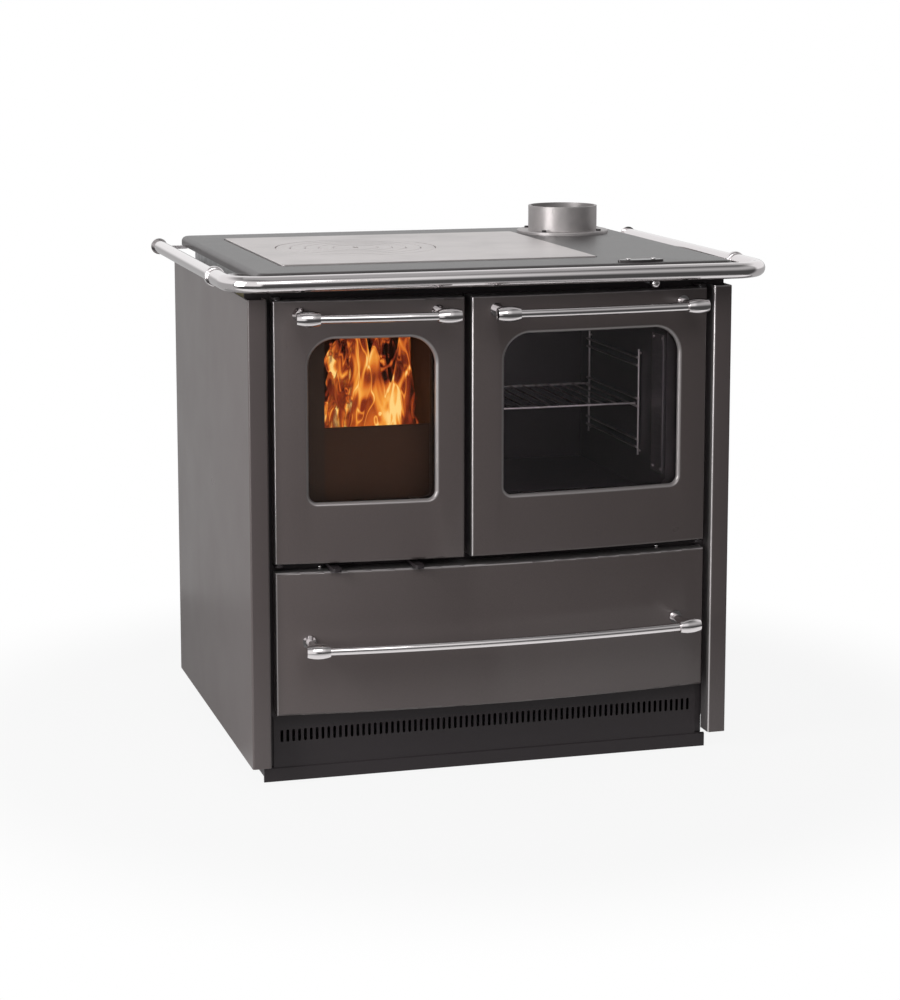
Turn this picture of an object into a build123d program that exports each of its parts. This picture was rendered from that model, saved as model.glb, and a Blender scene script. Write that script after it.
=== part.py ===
"""A free-standing wood cookstove: firebox and oven side by side over a log drawer, with a bowed
front, an iron top with lift-off hob rings, a flue spigot and a tubular rail.

Millimetres, +Z up. The origin is on the floor, under the middle of the stove.
+X is to the right and +Y to the back, as seen by someone who stands in front of it.
"""

import math
import os

from build123d import *

os.makedirs("parts", exist_ok=True)

# ---------------------------------------------------------------- body
hob_height = 860.0  # floor to the cooking surface
body_width = 833.0  # over the two side panels
body_depth = 684.0  # front of the posts to the rear edge of the side panels
sheet = 2.0  # enamelled panels
post_width = 32.0  # front face of each folded post
post_return = 34.0  # inner leg of the post
post_fold = 3.5  # outer radius of the folds
rear_fold = 20.0  # inward leg at the back of a side panel
rear_screw_head = 1.5
panel_bottom = 34.5
panel_top = 812.0
low_vent_height = 60.0  # vents in the rear panel, from its lower edge
high_vent_drop = 90.0  # and from its upper edge
fastener_gap = 0.3  # under and around screws
seat_gap = 0.3  # between pieces that only lie against each other

# ---------------------------------------------------------------- bowed front
door_side_gap = 42.5  # outer face of a side panel to the edge of a door
door_setback = 7.0  # the doors' outer edges lie this far behind the posts' faces
bow_rise = 26.0  # how far the middle of the front stands out
door_back_depth = 30.0  # back face of doors and drawer front, behind the posts' faces
door_skin = 2.5
door_corner = 4.0  # rounding of a door's outer edges
door_top = 809.0
door_bottom = 375.0
firebox_door_inner_edge = -59.0
oven_door_inner_edge = -47.0
drawer_front_bottom = 120.0
drawer_front_top = 361.0
door_half = body_width / 2 - door_side_gap
bow_radius = (door_half**2 + bow_rise**2) / (2 * bow_rise)

# ---------------------------------------------------------------- handles
handle_standoff = 70.0  # face to the middle of the bar, straight to the front
handle_bar_radius = 7.0
handle_cap_radius = 13.0
handle_cap_end_radius = 10.0
handle_cap_length = 38.0
handle_stem_radius = 6.0
rosette_radius = 11.0
rosette_height = 4.0
handle_socket = 6.0  # how far the bar enters its cap
handle_fit = 0.2
door_handle_drop = 22.0  # below the top of the doors
drawer_handle_drop = 116.0  # below the top of the drawer front
firebox_handle_left = -332.0
firebox_handle_right = -104.5
oven_handle_left = -6.0
oven_handle_right = 327.0
drawer_handle_half = 320.0

door_handle_height = door_top - door_handle_drop
drawer_handle_height = drawer_front_top - drawer_handle_drop

# The frontmost point is a handle cap near the middle of the bow, the rearmost a screw head.
front_reach = bow_rise - door_setback + handle_standoff + handle_cap_radius
post_face = (front_reach - body_depth - rear_screw_head) / 2
body_back = post_face + body_depth
half_width = body_width / 2
bow_centre = post_face + door_setback - bow_rise + bow_radius

# ---------------------------------------------------------------- windows
window_bottom = 476.0
window_top = 745.0
window_top_radius = 45.0
window_bottom_radius = 14.0
firebox_window_left = -317.0
firebox_window_right = -108.0
oven_window_left = 9.0
oven_window_right = 322.0
lip_wall = 4.0
lip_depth = 8.0
lip_round = 6.0
glass_thickness = 4.0
glass_overlap = 14.0  # glass behind the skin, all round the window

# ---------------------------------------------------------------- base and plinth
foot_gap = 3.0  # floor to the underside of the base frame
base_top = 112.0
base_flange = 30.0
plinth_depth = 35.0  # plinth face behind the posts' faces
plinth_half = 374.0
plinth_gap = 1.0  # floor to the plinth
skirt_half = 391.0
skirt_top = 25.0
slot_count = 73
slot_pitch = 10.0
slot_width = 5.0
slot_bottom = 67.5
slot_top = 88.5
slot_margin = 4.0  # clear height behind the slots, above and below them
foot_radius = 17.0
foot_stud_radius = 5.0
foot_stud_length = 42.0
foot_inset = 45.0
nut_across = 17.0
nut_height = 8.0

# ---------------------------------------------------------------- front frame and inner walls
frame_depth = 35.0  # front face of the front frame behind the posts' faces
frame_plate = 4.0
inner_wall = 3.0
wall_space = 32.5  # outer face of a side panel to the inner side wall
insulation = 22.0
inner_back_gap = 40.0  # inner back wall to the rear edge
rear_panel_sheet = 1.5
bay_margin = 12.0  # drawer opening inside the faces of the inner side walls
bay_bottom = 124.0
bay_top = 354.0
bay_roof_plate = 2.0
hearth_bottom = 378.0
hearth_plate_thickness = 4.0
hearth_top = hearth_bottom + hearth_plate_thickness
inner_half = half_width - wall_space
bay_half = inner_half - bay_margin  # drawer opening
frame_front = post_face + frame_depth
frame_back = frame_front + frame_plate
inner_rear = body_back - inner_back_gap

# ---------------------------------------------------------------- firebox
fire_opening_left = -285.0
fire_opening_right = -104.0
fire_opening_bottom = 386.0
fire_opening_top = 752.0
brick_thickness = 30.0
brick_inset = 7.0  # brick faces stand back from the edges of the fire opening
brick_top = 775.0
casing_wall = 3.0
casing_front_gap = 7.0  # front frame to the casing, where the log retainer stands
casing_length = 454.0
casing_top = 800.0
ledge_bottom = 440.0
ledge_thickness = 4.0
ledge_reach = 12.0  # ledge past the brick faces, under the grate
grate_thickness = 12.0
grate_bar = 10.0
grate_slot = 12.0
grate_fit = 1.0
retainer_thickness = 6.0
retainer_top = 592.5
ash_pan_fit = 4.0
ash_pan_length = 380.0
ash_pan_height = 46.0
ash_pan_sheet = 1.5
grip_reach = 12.0

# ---------------------------------------------------------------- oven
oven_left = -26.0
oven_right = 318.0
oven_bottom = 440.0
oven_top = 768.0
oven_length = 460.0
oven_wall = 2.0
oven_flange = 12.0
oven_mouth_right = 312.0
oven_mouth_left = -20.0
shelf_level_bottom = 511.0
shelf_level_pitch = 72.5
shelf_levels = 3
shelf_wire_gap = 14.0  # between the two wires of one level
shelf_wire_radius = 2.0
support_front = 172.0  # front upright of a shelf support, behind the posts' faces
support_length = 268.0
support_standoff = 8.0
shelf_wire_pitch = 24.0
shelf_fit = 1.5  # shelf to the edges of the oven mouth
strip_front = 64.0  # polished strip on each oven side wall, behind the posts' faces
strip_width = 52.0
strip_bottom = 482.0
strip_top = 722.0
strip_thickness = 1.5

# ---------------------------------------------------------------- top
frame_half = 407.0
frame_front_lip = 38.0  # in front of the posts' faces
frame_rear_gap = 12.0
frame_thickness = 16.0
frame_corner = 20.0
frame_round = 9.0  # rounding of the frame's upper edge
plate_left = -343.0
plate_right = 200.0
plate_front = 76.0
plate_rear = 568.0
plate_corner = 6.0
plate_gap = 3.0
plate_rise = 2.0  # hob plate and rings stand above the frame round them
plate_thickness = 12.0
plate_ledge = 10.0
ring_centre_x = -155.0
ring_centre_y = 338.0  # behind the posts' faces
ring_radii = (140.0, 114.0, 88.0, 64.0, 39.0)
ring_gap = 1.2
ring_step = 5.0  # width of the step that one ring rests on
ring_lip = 6.0  # thickness of the part that rests on the step
ring_chamfer = 1.8
hook_slot_length = 20.0
hook_slot_width = 8.0
frame_top = hob_height - plate_rise
top_underside = frame_top - frame_thickness
badge_x = 245.0
badge_front = 17.0  # middle of the badge in front of the posts' faces
badge_length = 80.0
badge_width = 24.0
badge_thickness = 4.0
badge_rivet_pitch = 44.0
badge_rivet_radius = 4.0

# ---------------------------------------------------------------- flue
flue_x = 295.0
flue_y = 545.0  # behind the posts' faces
spigot_radius = 64.0
spigot_wall = 4.0
spigot_height = 51.0  # over the top frame
flue_flange_radius = 85.0
flue_flange_thickness = 6.0
flue_flange_screws = 4
flue_screw_circle_radius = 75.0
flue_flange_round = 2.0
screw_radius = 2.5
screw_head_radius = 4.5
screw_head_height = 3.0
screw_head_round = 1.2
flue_wall_left = 222.0
flue_wall_front = 470.0
flue_wall = 3.0
port_width = 76.0
port_bottom = 784.0
port_top = 828.0

# ---------------------------------------------------------------- damper
damper_x = 270.0
damper_height = 822.0
damper_rod_radius = 4.0
damper_knob_radius = 7.5
damper_knob_length = 16.0
damper_knob_front = 28.0  # in front of the posts' faces
damper_fit = 0.5
damper_lap = 5.0  # damper plate past the edges of its port
damper_plate_thickness = 3.0
guide_depth = 300.0

# ---------------------------------------------------------------- air slides
lever_height = 366.0
lever_half_width = 7.5
lever_half_thickness = 3.0
lever_reach = 16.0  # past the bowed front
air_slot_half_height = 4.5
air_travel = 30.0  # from the left end of the slot to the right
air_plate_half_height = 8.0
air_plate_lap = 6.0  # shutter past the ends of its slot at either end of the travel
primary_lever_x = -139.0
secondary_lever_x = -276.0
dome_left = -293.5  # casing screws in the gap between doors and drawer
dome_right = 298.0
dome_z = 362.5
dome_radius = 3.5
dome_rise = 4.0

# ---------------------------------------------------------------- rail
rail_height = 843.5
rail_radius = 13.5
rail_side_gap = 33.5  # clear space between the front tube and the top
rail_front_gap = 12.5
rail_wall = 2.0
rail_bend = 60.0
rail_leg_end = 75.0  # behind the posts' faces
side_rail_radius = 11.5
side_rail_end = 622.0
rail_collar_radius = 17.0
rail_collar_length = 14.0
end_cap_radius = 14.5
end_cap_length = 10.0
bracket_width = 10.0
bracket_thickness = 6.0
side_bracket_rear = 600.0
front_bracket_half = 300.0
rail_half = frame_half + rail_side_gap + rail_radius
rail_front = frame_front_lip + rail_front_gap + rail_radius

# ---------------------------------------------------------------- hinges, seals and drawer
hinge_pin_radius = 4.0
hinge_fit = 0.1
hinge_inset = 8.0  # pin from the outer edge of its door
hinge_depth = 15.0  # pin behind the posts' faces
hinge_plate = 4.0
hinge_gap = 1.0  # between a hinge plate and its door
hinge_plate_half = 7.0
hinge_engagement = 16.0
hinge_boss_radius = 8.0
liner_thickness = 3.0
seal_width = 8.0
seal_margin = 8.0  # seal past the edge of its opening
catch_width = 8.0
catch_height = 30.0
catch_depth = 4.0
drawer_side_gap = 13.0  # flange of the drawer box to the inner side wall
drawer_box_bottom = 132.0
drawer_box_top = 320.0
drawer_box_length = 495.0
drawer_sheet = 1.5
drawer_flange = 16.0
drawer_flange_height = 226.0
drawer_flange_start = 15.0  # behind the drawer front
runner_fit = 0.4
runner_thickness = 3.0
runner_overlap = 12.0
runner_drop = 24.0  # wall leg of a runner below and above its shelf
runner_rise = 18.0
drawer_box_half = inner_half - inner_wall - drawer_flange - drawer_side_gap


# ---------------------------------------------------------------- helpers
def finish(piece, name):
    """Label a finished piece and write it to its own file."""
    piece.part.label = name
    export_step(piece.part, f"parts/{name}.step")


def bow_y(x, outward=0.0):
    """Y of the bowed front at x, moved outward along the bow's own radius."""
    return bow_centre - math.sqrt((bow_radius + outward) ** 2 - x**2)


def facing(y):
    """The vertical plane at y that faces the front: its own x and y are the stove's X and Z."""
    return Plane.XZ.offset(-y)


def bow_frame(x, z):
    """A plane on the bow at x: its z points outward and its x runs along the bow."""
    lean = math.asin(x / bow_radius)
    return Plane(
        origin=(x, bow_y(x), z),
        x_dir=(math.cos(lean), math.sin(lean), 0),
        z_dir=(math.sin(lean), -math.cos(lean), 0),
    )


def bowed_block(left, right, bottom, top, inset, back, corner=0.0):
    """A block with a bowed front, inset behind the bow, and a flat back at y = back."""
    middle = (left + right) / 2
    with BuildPart() as block:
        with BuildSketch(Plane.XY.offset(bottom)):
            with BuildLine():
                ThreePointArc(
                    (left, bow_y(left, -inset)),
                    (middle, bow_y(middle, -inset)),
                    (right, bow_y(right, -inset)),
                )
                Polyline(
                    (right, bow_y(right, -inset)),
                    (right, back),
                    (left, back),
                    (left, bow_y(left, -inset)),
                )
            make_face()
        extrude(amount=top - bottom)
        if corner:
            sides = [e for e in block.edges().filter_by(Axis.Z) if e.center().Y < back - corner]
            ends = block.edges().filter_by(GeomType.CIRCLE)
            fillet(sides + list(ends), radius=corner)
    return block.part


def bowed_band(left, right, bottom, top, near, far):
    """The part of the bow between two depths behind its face."""
    with BuildPart() as band:
        add(bowed_block(left, right, bottom, top, near, frame_front))
        add(bowed_block(left, right, bottom, top, far, frame_front), mode=Mode.SUBTRACT)
    return band.part


def window_outline(left, right, bottom, top, grow=0.0):
    """Sketch of a window with large upper and small lower corners, grown all round."""
    with BuildSketch() as outline:
        with Locations(((left + right) / 2, (bottom + top) / 2)):
            Rectangle(right - left + 2 * grow, top - bottom + 2 * grow)
        corners = outline.vertices().group_by(Axis.Y)
        fillet(corners[-1], radius=window_top_radius + grow)
        fillet(outline.vertices().group_by(Axis.Y)[0], radius=window_bottom_radius + grow)
    return outline.sketch


def box_between(x_range, y_range, z_range):
    """Add a box given by its limits to the part being built."""
    centre = tuple((a + b) / 2 for a, b in (x_range, y_range, z_range))
    size = [b - a for a, b in (x_range, y_range, z_range)]
    with Locations(centre):
        Box(*size)


def cut_between(x_range, y_range, z_range):
    """Cut a box given by its limits from the part being built."""
    centre = tuple((a + b) / 2 for a, b in (x_range, y_range, z_range))
    size = [b - a for a, b in (x_range, y_range, z_range)]
    with Locations(centre):
        Box(*size, mode=Mode.SUBTRACT)


# ================================================================ base
base_half = inner_half + sheet
base_front = post_face + plinth_depth + sheet * 2
base_rear = inner_rear

with BuildPart() as base_frame:
    box_between((-base_half, base_half), (base_front, base_rear), (foot_gap, base_top))
    cut_between(
        (-base_half + sheet, base_half - sheet),
        (base_front + sheet, base_rear - sheet),
        (foot_gap + sheet, base_top),
    )
    cut_between(
        (-base_half + base_flange, base_half - base_flange),
        (base_front + base_flange, base_rear - base_flange),
        (foot_gap, foot_gap + sheet),
    )
    # Air from the plinth's slots passes through one long opening.
    cut_between(
        (-slot_pitch * slot_count / 2, slot_pitch * slot_count / 2),
        (base_front, base_front + sheet),
        (slot_bottom - slot_margin, slot_top + slot_margin),
    )
    # Corner plates carry the feet.
    foot_xs = (-base_half + foot_inset, base_half - foot_inset)
    foot_ys = (base_front + foot_inset, base_rear - foot_inset)
    foot_places = [(x, y) for x in foot_xs for y in foot_ys]
    for x, y in foot_places:
        box_between(
            (x - foot_inset + sheet, x + foot_inset - sheet),
            (y - foot_inset + sheet, y + foot_inset - sheet),
            (foot_gap, foot_gap + sheet),
        )
        with Locations((x, y, foot_gap)):
            Cylinder(foot_stud_radius + fastener_gap, 4 * sheet, mode=Mode.SUBTRACT)
finish(base_frame, "base_frame")

with BuildPart() as levelling_feet:
    for x, y in foot_places:
        with Locations((x, y, 0)):
            Cylinder(foot_radius, foot_gap, align=(Align.CENTER, Align.CENTER, Align.MIN))
            Cylinder(
                foot_stud_radius,
                foot_gap + foot_stud_length,
                align=(Align.CENTER, Align.CENTER, Align.MIN),
            )
    # A loose lock nut sits on the base frame round each stud.
    with BuildSketch(Plane.XY.offset(foot_gap + sheet)):
        with Locations(*foot_places):
            RegularPolygon(nut_across / 2, 6, major_radius=False)
        with Locations(*foot_places):
            Circle(foot_stud_radius + fastener_gap, mode=Mode.SUBTRACT)
    extrude(amount=nut_height)
finish(levelling_feet, "levelling_feet")

plinth_y = post_face + plinth_depth
with BuildPart() as plinth_grille:
    box_between(
        (-plinth_half, plinth_half),
        (plinth_y, plinth_y + sheet),
        (plinth_gap, base_top),
    )
    box_between(
        (-skirt_half, skirt_half),
        (plinth_y - sheet, plinth_y + sheet),
        (plinth_gap, skirt_top),
    )
    step_edges = plinth_grille.edges().filter_by(Axis.X).filter_by_position(
        Axis.Z, skirt_top - 0.5, skirt_top + 0.5
    )
    chamfer(step_edges.sort_by(Axis.Y)[:1], length=sheet * 0.9)
    with BuildSketch(facing(plinth_y - sheet)):
        with Locations((0, (slot_bottom + slot_top) / 2)):
            with GridLocations(slot_pitch, 0, slot_count, 1):
                SlotOverall(slot_top - slot_bottom, slot_width, rotation=90)
    extrude(amount=-3 * sheet, mode=Mode.SUBTRACT)
finish(plinth_grille, "plinth_grille")

# ================================================================ outer panels
with BuildPart() as left_side_panel:
    with BuildSketch(Plane.XY.offset(panel_bottom)) as profile:
        with Locations((-half_width, post_face)):
            Rectangle(sheet, body_depth, align=(Align.MIN, Align.MIN))
            Rectangle(post_width, sheet, align=(Align.MIN, Align.MIN))
        with Locations((-half_width + post_width - sheet, post_face)):
            Rectangle(sheet, post_return, align=(Align.MIN, Align.MIN))
        with Locations((-half_width, body_back - sheet)):
            Rectangle(rear_fold, sheet, align=(Align.MIN, Align.MIN))
        front_corners = [v for v in profile.vertices() if abs(v.Y - post_face) < 0.01]
        outside = [v for v in profile.vertices() if abs(v.X + half_width) < 0.01]
        outer_corners = front_corners + [v for v in outside if abs(v.Y - body_back) < 0.01]
        fillet(outer_corners, radius=post_fold)
    extrude(amount=panel_top - panel_bottom)
finish(left_side_panel, "left_side_panel")

with BuildPart() as right_side_panel:
    add(mirror(left_side_panel.part, about=Plane.YZ, mode=Mode.PRIVATE))
finish(right_side_panel, "right_side_panel")

rear_panel_front = body_back - sheet - rear_panel_sheet
with BuildPart() as rear_panel:
    box_between(
        (-half_width + sheet, half_width - sheet),
        (rear_panel_front, rear_panel_front + rear_panel_sheet),
        (panel_bottom, panel_top),
    )
    rear_screw_x = half_width - rear_fold / 2
    rear_screw_zs = [panel_bottom + (panel_top - panel_bottom) * share for share in (0.06, 0.35, 0.65, 0.94)]
    vent_zs = (panel_bottom + low_vent_height, panel_top - high_vent_drop)
    with BuildSketch(facing(rear_panel_front)):
        for z in vent_zs:
            with Locations((0, z)):
                with GridLocations(slot_pitch * 4, slot_pitch * 1.5, 11, 3):
                    SlotOverall(slot_pitch * 3, slot_width)
    extrude(amount=-2 * sheet, mode=Mode.SUBTRACT)
finish(rear_panel, "rear_panel")

# ================================================================ front frame and inner walls
with BuildPart() as front_frame:
    with BuildSketch(facing(frame_front)):
        with Locations((0, (base_top + top_underside) / 2)):
            Rectangle(2 * (half_width - sheet), top_underside - base_top)
        with Locations((0, (bay_bottom + bay_top) / 2)):
            Rectangle(2 * bay_half, bay_top - bay_bottom, mode=Mode.SUBTRACT)
        with Locations(
            (
                (fire_opening_left + fire_opening_right) / 2,
                (fire_opening_bottom + fire_opening_top) / 2,
            )
        ):
            Rectangle(
                fire_opening_right - fire_opening_left,
                fire_opening_top - fire_opening_bottom,
                mode=Mode.SUBTRACT,
            )
        with Locations(
            ((oven_mouth_left + oven_mouth_right) / 2, (oven_bottom + oven_top) / 2)
        ):
            Rectangle(
                oven_mouth_right - oven_mouth_left,
                oven_top - oven_bottom,
                mode=Mode.SUBTRACT,
            )
        for x in (primary_lever_x, secondary_lever_x):
            with Locations((x + air_travel / 2, lever_height)):
                SlotOverall(
                    air_travel + 2 * (lever_half_width + air_slot_half_height),
                    2 * air_slot_half_height,
                    mode=Mode.SUBTRACT,
                )
        with Locations((damper_x, damper_height)):
            Circle(damper_rod_radius + damper_fit, mode=Mode.SUBTRACT)
    extrude(amount=-frame_plate)
finish(front_frame, "front_frame")

with BuildPart() as casing_screws:
    for x in (dome_left, dome_right):
        with BuildSketch(facing(frame_front)):
            with Locations((x, dome_z)):
                Circle(dome_radius)
        extrude(amount=dome_rise)
    rims = casing_screws.edges().group_by(Axis.Y)[0]
    fillet(rims, radius=dome_radius * 0.85)
    with BuildSketch(facing(body_back)):
        with Locations(*[(x, z) for x in (-rear_screw_x, rear_screw_x) for z in rear_screw_zs]):
            Circle(screw_head_radius)
    extrude(amount=-rear_screw_head)
finish(casing_screws, "casing_screws")

with BuildPart() as inner_side_walls:
    for side in (-1, 1):
        box_between(
            sorted((side * inner_half, side * (inner_half - inner_wall))),
            (frame_back, inner_rear - inner_wall),
            (base_top, top_underside),
        )
finish(inner_side_walls, "inner_side_walls")

with BuildPart() as inner_back_wall:
    box_between(
        (-inner_half, inner_half),
        (inner_rear - inner_wall, inner_rear),
        (base_top, top_underside),
    )
finish(inner_back_wall, "inner_back_wall")

with BuildPart() as side_insulation:
    for side in (-1, 1):
        box_between(
            sorted((side * inner_half, side * (inner_half + insulation))),
            (frame_back, inner_rear),
            (base_top + sheet, panel_top - 2 * post_fold),
        )
finish(side_insulation, "side_insulation")

bay_inner_half = inner_half - inner_wall
with BuildPart() as inner_floors:
    for low, thickness in ((bay_top, bay_roof_plate), (hearth_bottom, hearth_plate_thickness)):
        box_between(
            (-bay_inner_half, bay_inner_half),
            (frame_back, inner_rear - inner_wall),
            (low, low + thickness),
        )
finish(inner_floors, "inner_floors")

# ================================================================ firebox
brick_left = fire_opening_left - brick_inset
brick_right = fire_opening_right + brick_inset + 1
casing_left = brick_left - brick_thickness - casing_wall
casing_right = brick_right + brick_thickness + casing_wall
casing_front = frame_back + casing_front_gap
casing_rear = casing_front + casing_length
ledge_top = ledge_bottom + ledge_thickness
brick_rear = casing_rear - casing_wall - brick_thickness

with BuildPart() as firebox_casing:
    box_between((casing_left, casing_right), (casing_front, casing_rear), (hearth_top, casing_top))
    cut_between(
        (casing_left + casing_wall, casing_right - casing_wall),
        (casing_front, casing_rear - casing_wall),
        (hearth_top, casing_top),
    )
    # The ledge carries the bricks and the grate; its front bar carries the log retainer.
    box_between(
        (casing_left + casing_wall, casing_right - casing_wall),
        (casing_front, casing_rear - casing_wall),
        (ledge_bottom, ledge_top),
    )
    box_between((casing_left, casing_right), (frame_back, casing_front), (ledge_bottom, ledge_top))
    cut_between(
        (brick_left + ledge_reach, brick_right - ledge_reach),
        (casing_front + ledge_reach, brick_rear - ledge_reach),
        (ledge_bottom, ledge_top),
    )
finish(firebox_casing, "firebox_casing")

with BuildPart() as firebricks:
    for low in (casing_left + casing_wall, brick_right):
        box_between((low, low + brick_thickness), (casing_front, brick_rear), (ledge_top, brick_top))
    box_between(
        (casing_left + casing_wall, casing_right - casing_wall),
        (brick_rear + seat_gap, brick_rear + brick_thickness),
        (ledge_top, brick_top),
    )
    chamfer(firebricks.edges().filter_by(Axis.Z), length=2)
finish(firebricks, "firebricks")

with BuildPart() as fire_grate:
    grate_xs = (brick_left + grate_fit, brick_right - grate_fit)
    grate_ys = (casing_front + grate_fit, brick_rear - grate_fit)
    box_between(grate_xs, grate_ys, (ledge_top, ledge_top + grate_thickness))
    grate_pitch = grate_bar + grate_slot
    grate_slots = int((grate_xs[1] - grate_xs[0] - 2 * ledge_reach) // grate_pitch)
    slot_length = grate_ys[1] - grate_ys[0] - 4 * ledge_reach
    with BuildSketch(Plane.XY.offset(ledge_top)):
        with Locations((sum(grate_xs) / 2, sum(grate_ys) / 2)):
            with GridLocations(grate_pitch, slot_length / 2, grate_slots, 2):
                SlotOverall(slot_length / 2 - grate_bar, grate_slot, rotation=90)
    extrude(amount=grate_thickness, mode=Mode.SUBTRACT)
finish(fire_grate, "fire_grate")

with BuildPart() as log_retainer:
    with BuildSketch(facing(frame_back + seat_gap)):
        with Locations(((brick_left + brick_right) / 2, ledge_top)):
            Rectangle(
                brick_right - brick_left,
                retainer_top - ledge_top,
                align=(Align.CENTER, Align.MIN),
            )
    extrude(amount=-retainer_thickness)
    chamfer(log_retainer.edges().group_by(Axis.Z)[-1].filter_by(Axis.X), length=1.5)
finish(log_retainer, "log_retainer")

pan_left = fire_opening_left + ash_pan_fit
pan_right = fire_opening_right - ash_pan_fit
pan_front = frame_back + casing_front_gap
with BuildPart() as ash_pan:
    box_between(
        (pan_left, pan_right),
        (pan_front, pan_front + ash_pan_length),
        (hearth_top, hearth_top + ash_pan_height),
    )
    cut_between(
        (pan_left + ash_pan_sheet, pan_right - ash_pan_sheet),
        (pan_front + ash_pan_sheet, pan_front + ash_pan_length - ash_pan_sheet),
        (hearth_top + ash_pan_sheet, hearth_top + ash_pan_height),
    )
    # A folded grip stands out at the front of the pan.
    grip_half = (pan_right - pan_left) / 5
    pan_middle = (pan_left + pan_right) / 2
    grip_low = hearth_top + ash_pan_height / 2
    grip_front = pan_front - grip_reach
    box_between(
        (pan_middle - grip_half, pan_middle + grip_half),
        (grip_front, pan_front),
        (grip_low, grip_low + 2 * ash_pan_sheet),
    )
    box_between(
        (pan_middle - grip_half, pan_middle + grip_half),
        (grip_front, grip_front + 2 * ash_pan_sheet),
        (grip_low - 10, grip_low),
    )
finish(ash_pan, "ash_pan")

# ================================================================ oven
oven_rear = frame_back + oven_length
with BuildPart() as oven_box:
    box_between(
        (oven_left - oven_wall, oven_right + oven_wall),
        (frame_back, oven_rear + oven_wall),
        (oven_bottom - oven_wall, oven_top + oven_wall),
    )
    box_between(
        (oven_left - oven_wall - oven_flange, oven_right + oven_wall + oven_flange),
        (frame_back, frame_back + oven_wall),
        (oven_bottom - oven_wall - oven_flange, oven_top + oven_wall + oven_flange),
    )
    cut_between((oven_left, oven_right), (frame_back, oven_rear), (oven_bottom, oven_top))
finish(oven_box, "oven_box")

strip_y = post_face + strip_front
strip_screw_places = [
    (y, z)
    for y in (strip_y + 6, strip_y + strip_width - 6)
    for z in (strip_bottom + 6, strip_top - 6)
]
with BuildPart() as oven_side_strips:
    for inner_face, side in ((oven_left, 1), (oven_right, -1)):
        with BuildSketch(Plane.YZ.offset(inner_face)):
            with Locations((strip_y + strip_width / 2, (strip_bottom + strip_top) / 2)):
                Rectangle(strip_width, strip_top - strip_bottom)
        extrude(amount=side * strip_thickness)
        with BuildSketch(Plane.YZ.offset(inner_face)):
            with Locations(*strip_screw_places):
                Circle(screw_head_height)
        extrude(amount=side * 2 * strip_thickness)
finish(oven_side_strips, "oven_side_strips")

support_y = post_face + support_front
support_rear = support_y + support_length
support_levels = [shelf_level_bottom + n * shelf_level_pitch for n in range(shelf_levels)]
with BuildPart() as oven_shelf_supports:
    for wall_face, side in ((oven_left, 1), (oven_right, -1)):
        wire_x = wall_face + side * support_standoff
        for z in support_levels:
            for wire_z in (z, z + shelf_wire_gap):
                with BuildSketch(facing(support_y)):
                    with Locations((wire_x, wire_z)):
                        Circle(shelf_wire_radius)
                extrude(amount=-support_length)
        low = support_levels[0] - shelf_wire_gap
        high = support_levels[-1] + 2 * shelf_wire_gap
        upright_x = wall_face + side * (support_standoff - 2 * shelf_wire_radius + 0.5)
        for y in (support_y + shelf_wire_radius, support_rear - shelf_wire_radius):
            with BuildSketch(Plane.XY.offset(low)):
                with Locations((upright_x, y)):
                    Circle(shelf_wire_radius)
            extrude(amount=high - low)
            # Pegs hold the wire frame off the oven wall.
            for z in (low + shelf_wire_gap / 2, high - shelf_wire_gap / 2):
                with BuildSketch(Plane.YZ.offset(wall_face)):
                    with Locations((y, z)):
                        Circle(shelf_wire_radius)
                extrude(amount=side * (support_standoff - 2 * shelf_wire_radius))
finish(oven_shelf_supports, "oven_shelf_supports")

shelf_left = oven_mouth_left + shelf_fit
shelf_right = oven_mouth_right - shelf_fit
shelf_z = support_levels[1] + 2 * shelf_wire_radius + seat_gap
with BuildPart() as oven_shelf:
    shelf_xs = (shelf_left, shelf_right)
    shelf_ys = (support_y + 10, support_rear - 10)
    for y in shelf_ys:
        with BuildSketch(Plane.YZ.offset(shelf_xs[0])):
            with Locations((y, shelf_z)):
                Circle(shelf_wire_radius)
        extrude(amount=shelf_xs[1] - shelf_xs[0])
    wire_count = int((shelf_xs[1] - shelf_xs[0] - 4 * shelf_wire_radius) // shelf_wire_pitch)
    wire_span = wire_count * shelf_wire_pitch
    wire_xs = [sum(shelf_xs) / 2 - wire_span / 2 + n * shelf_wire_pitch for n in range(wire_count + 1)]
    with BuildSketch(facing(shelf_ys[0])):
        for x in wire_xs:
            with Locations((x, shelf_z)):
                Circle(shelf_wire_radius * 0.75)
    extrude(amount=shelf_ys[0] - shelf_ys[1])
finish(oven_shelf, "oven_shelf")

# ================================================================ top
frame_y_front = post_face - frame_front_lip
frame_y_rear = body_back - frame_rear_gap
plate_y_front = post_face + plate_front
plate_y_rear = post_face + plate_rear
plate_bottom = hob_height - plate_thickness
flue_centre = (flue_x, post_face + flue_y)
plate_centre = ((plate_left + plate_right) / 2, (plate_y_front + plate_y_rear) / 2)
plate_size = (plate_right - plate_left, plate_y_rear - plate_y_front)

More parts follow.
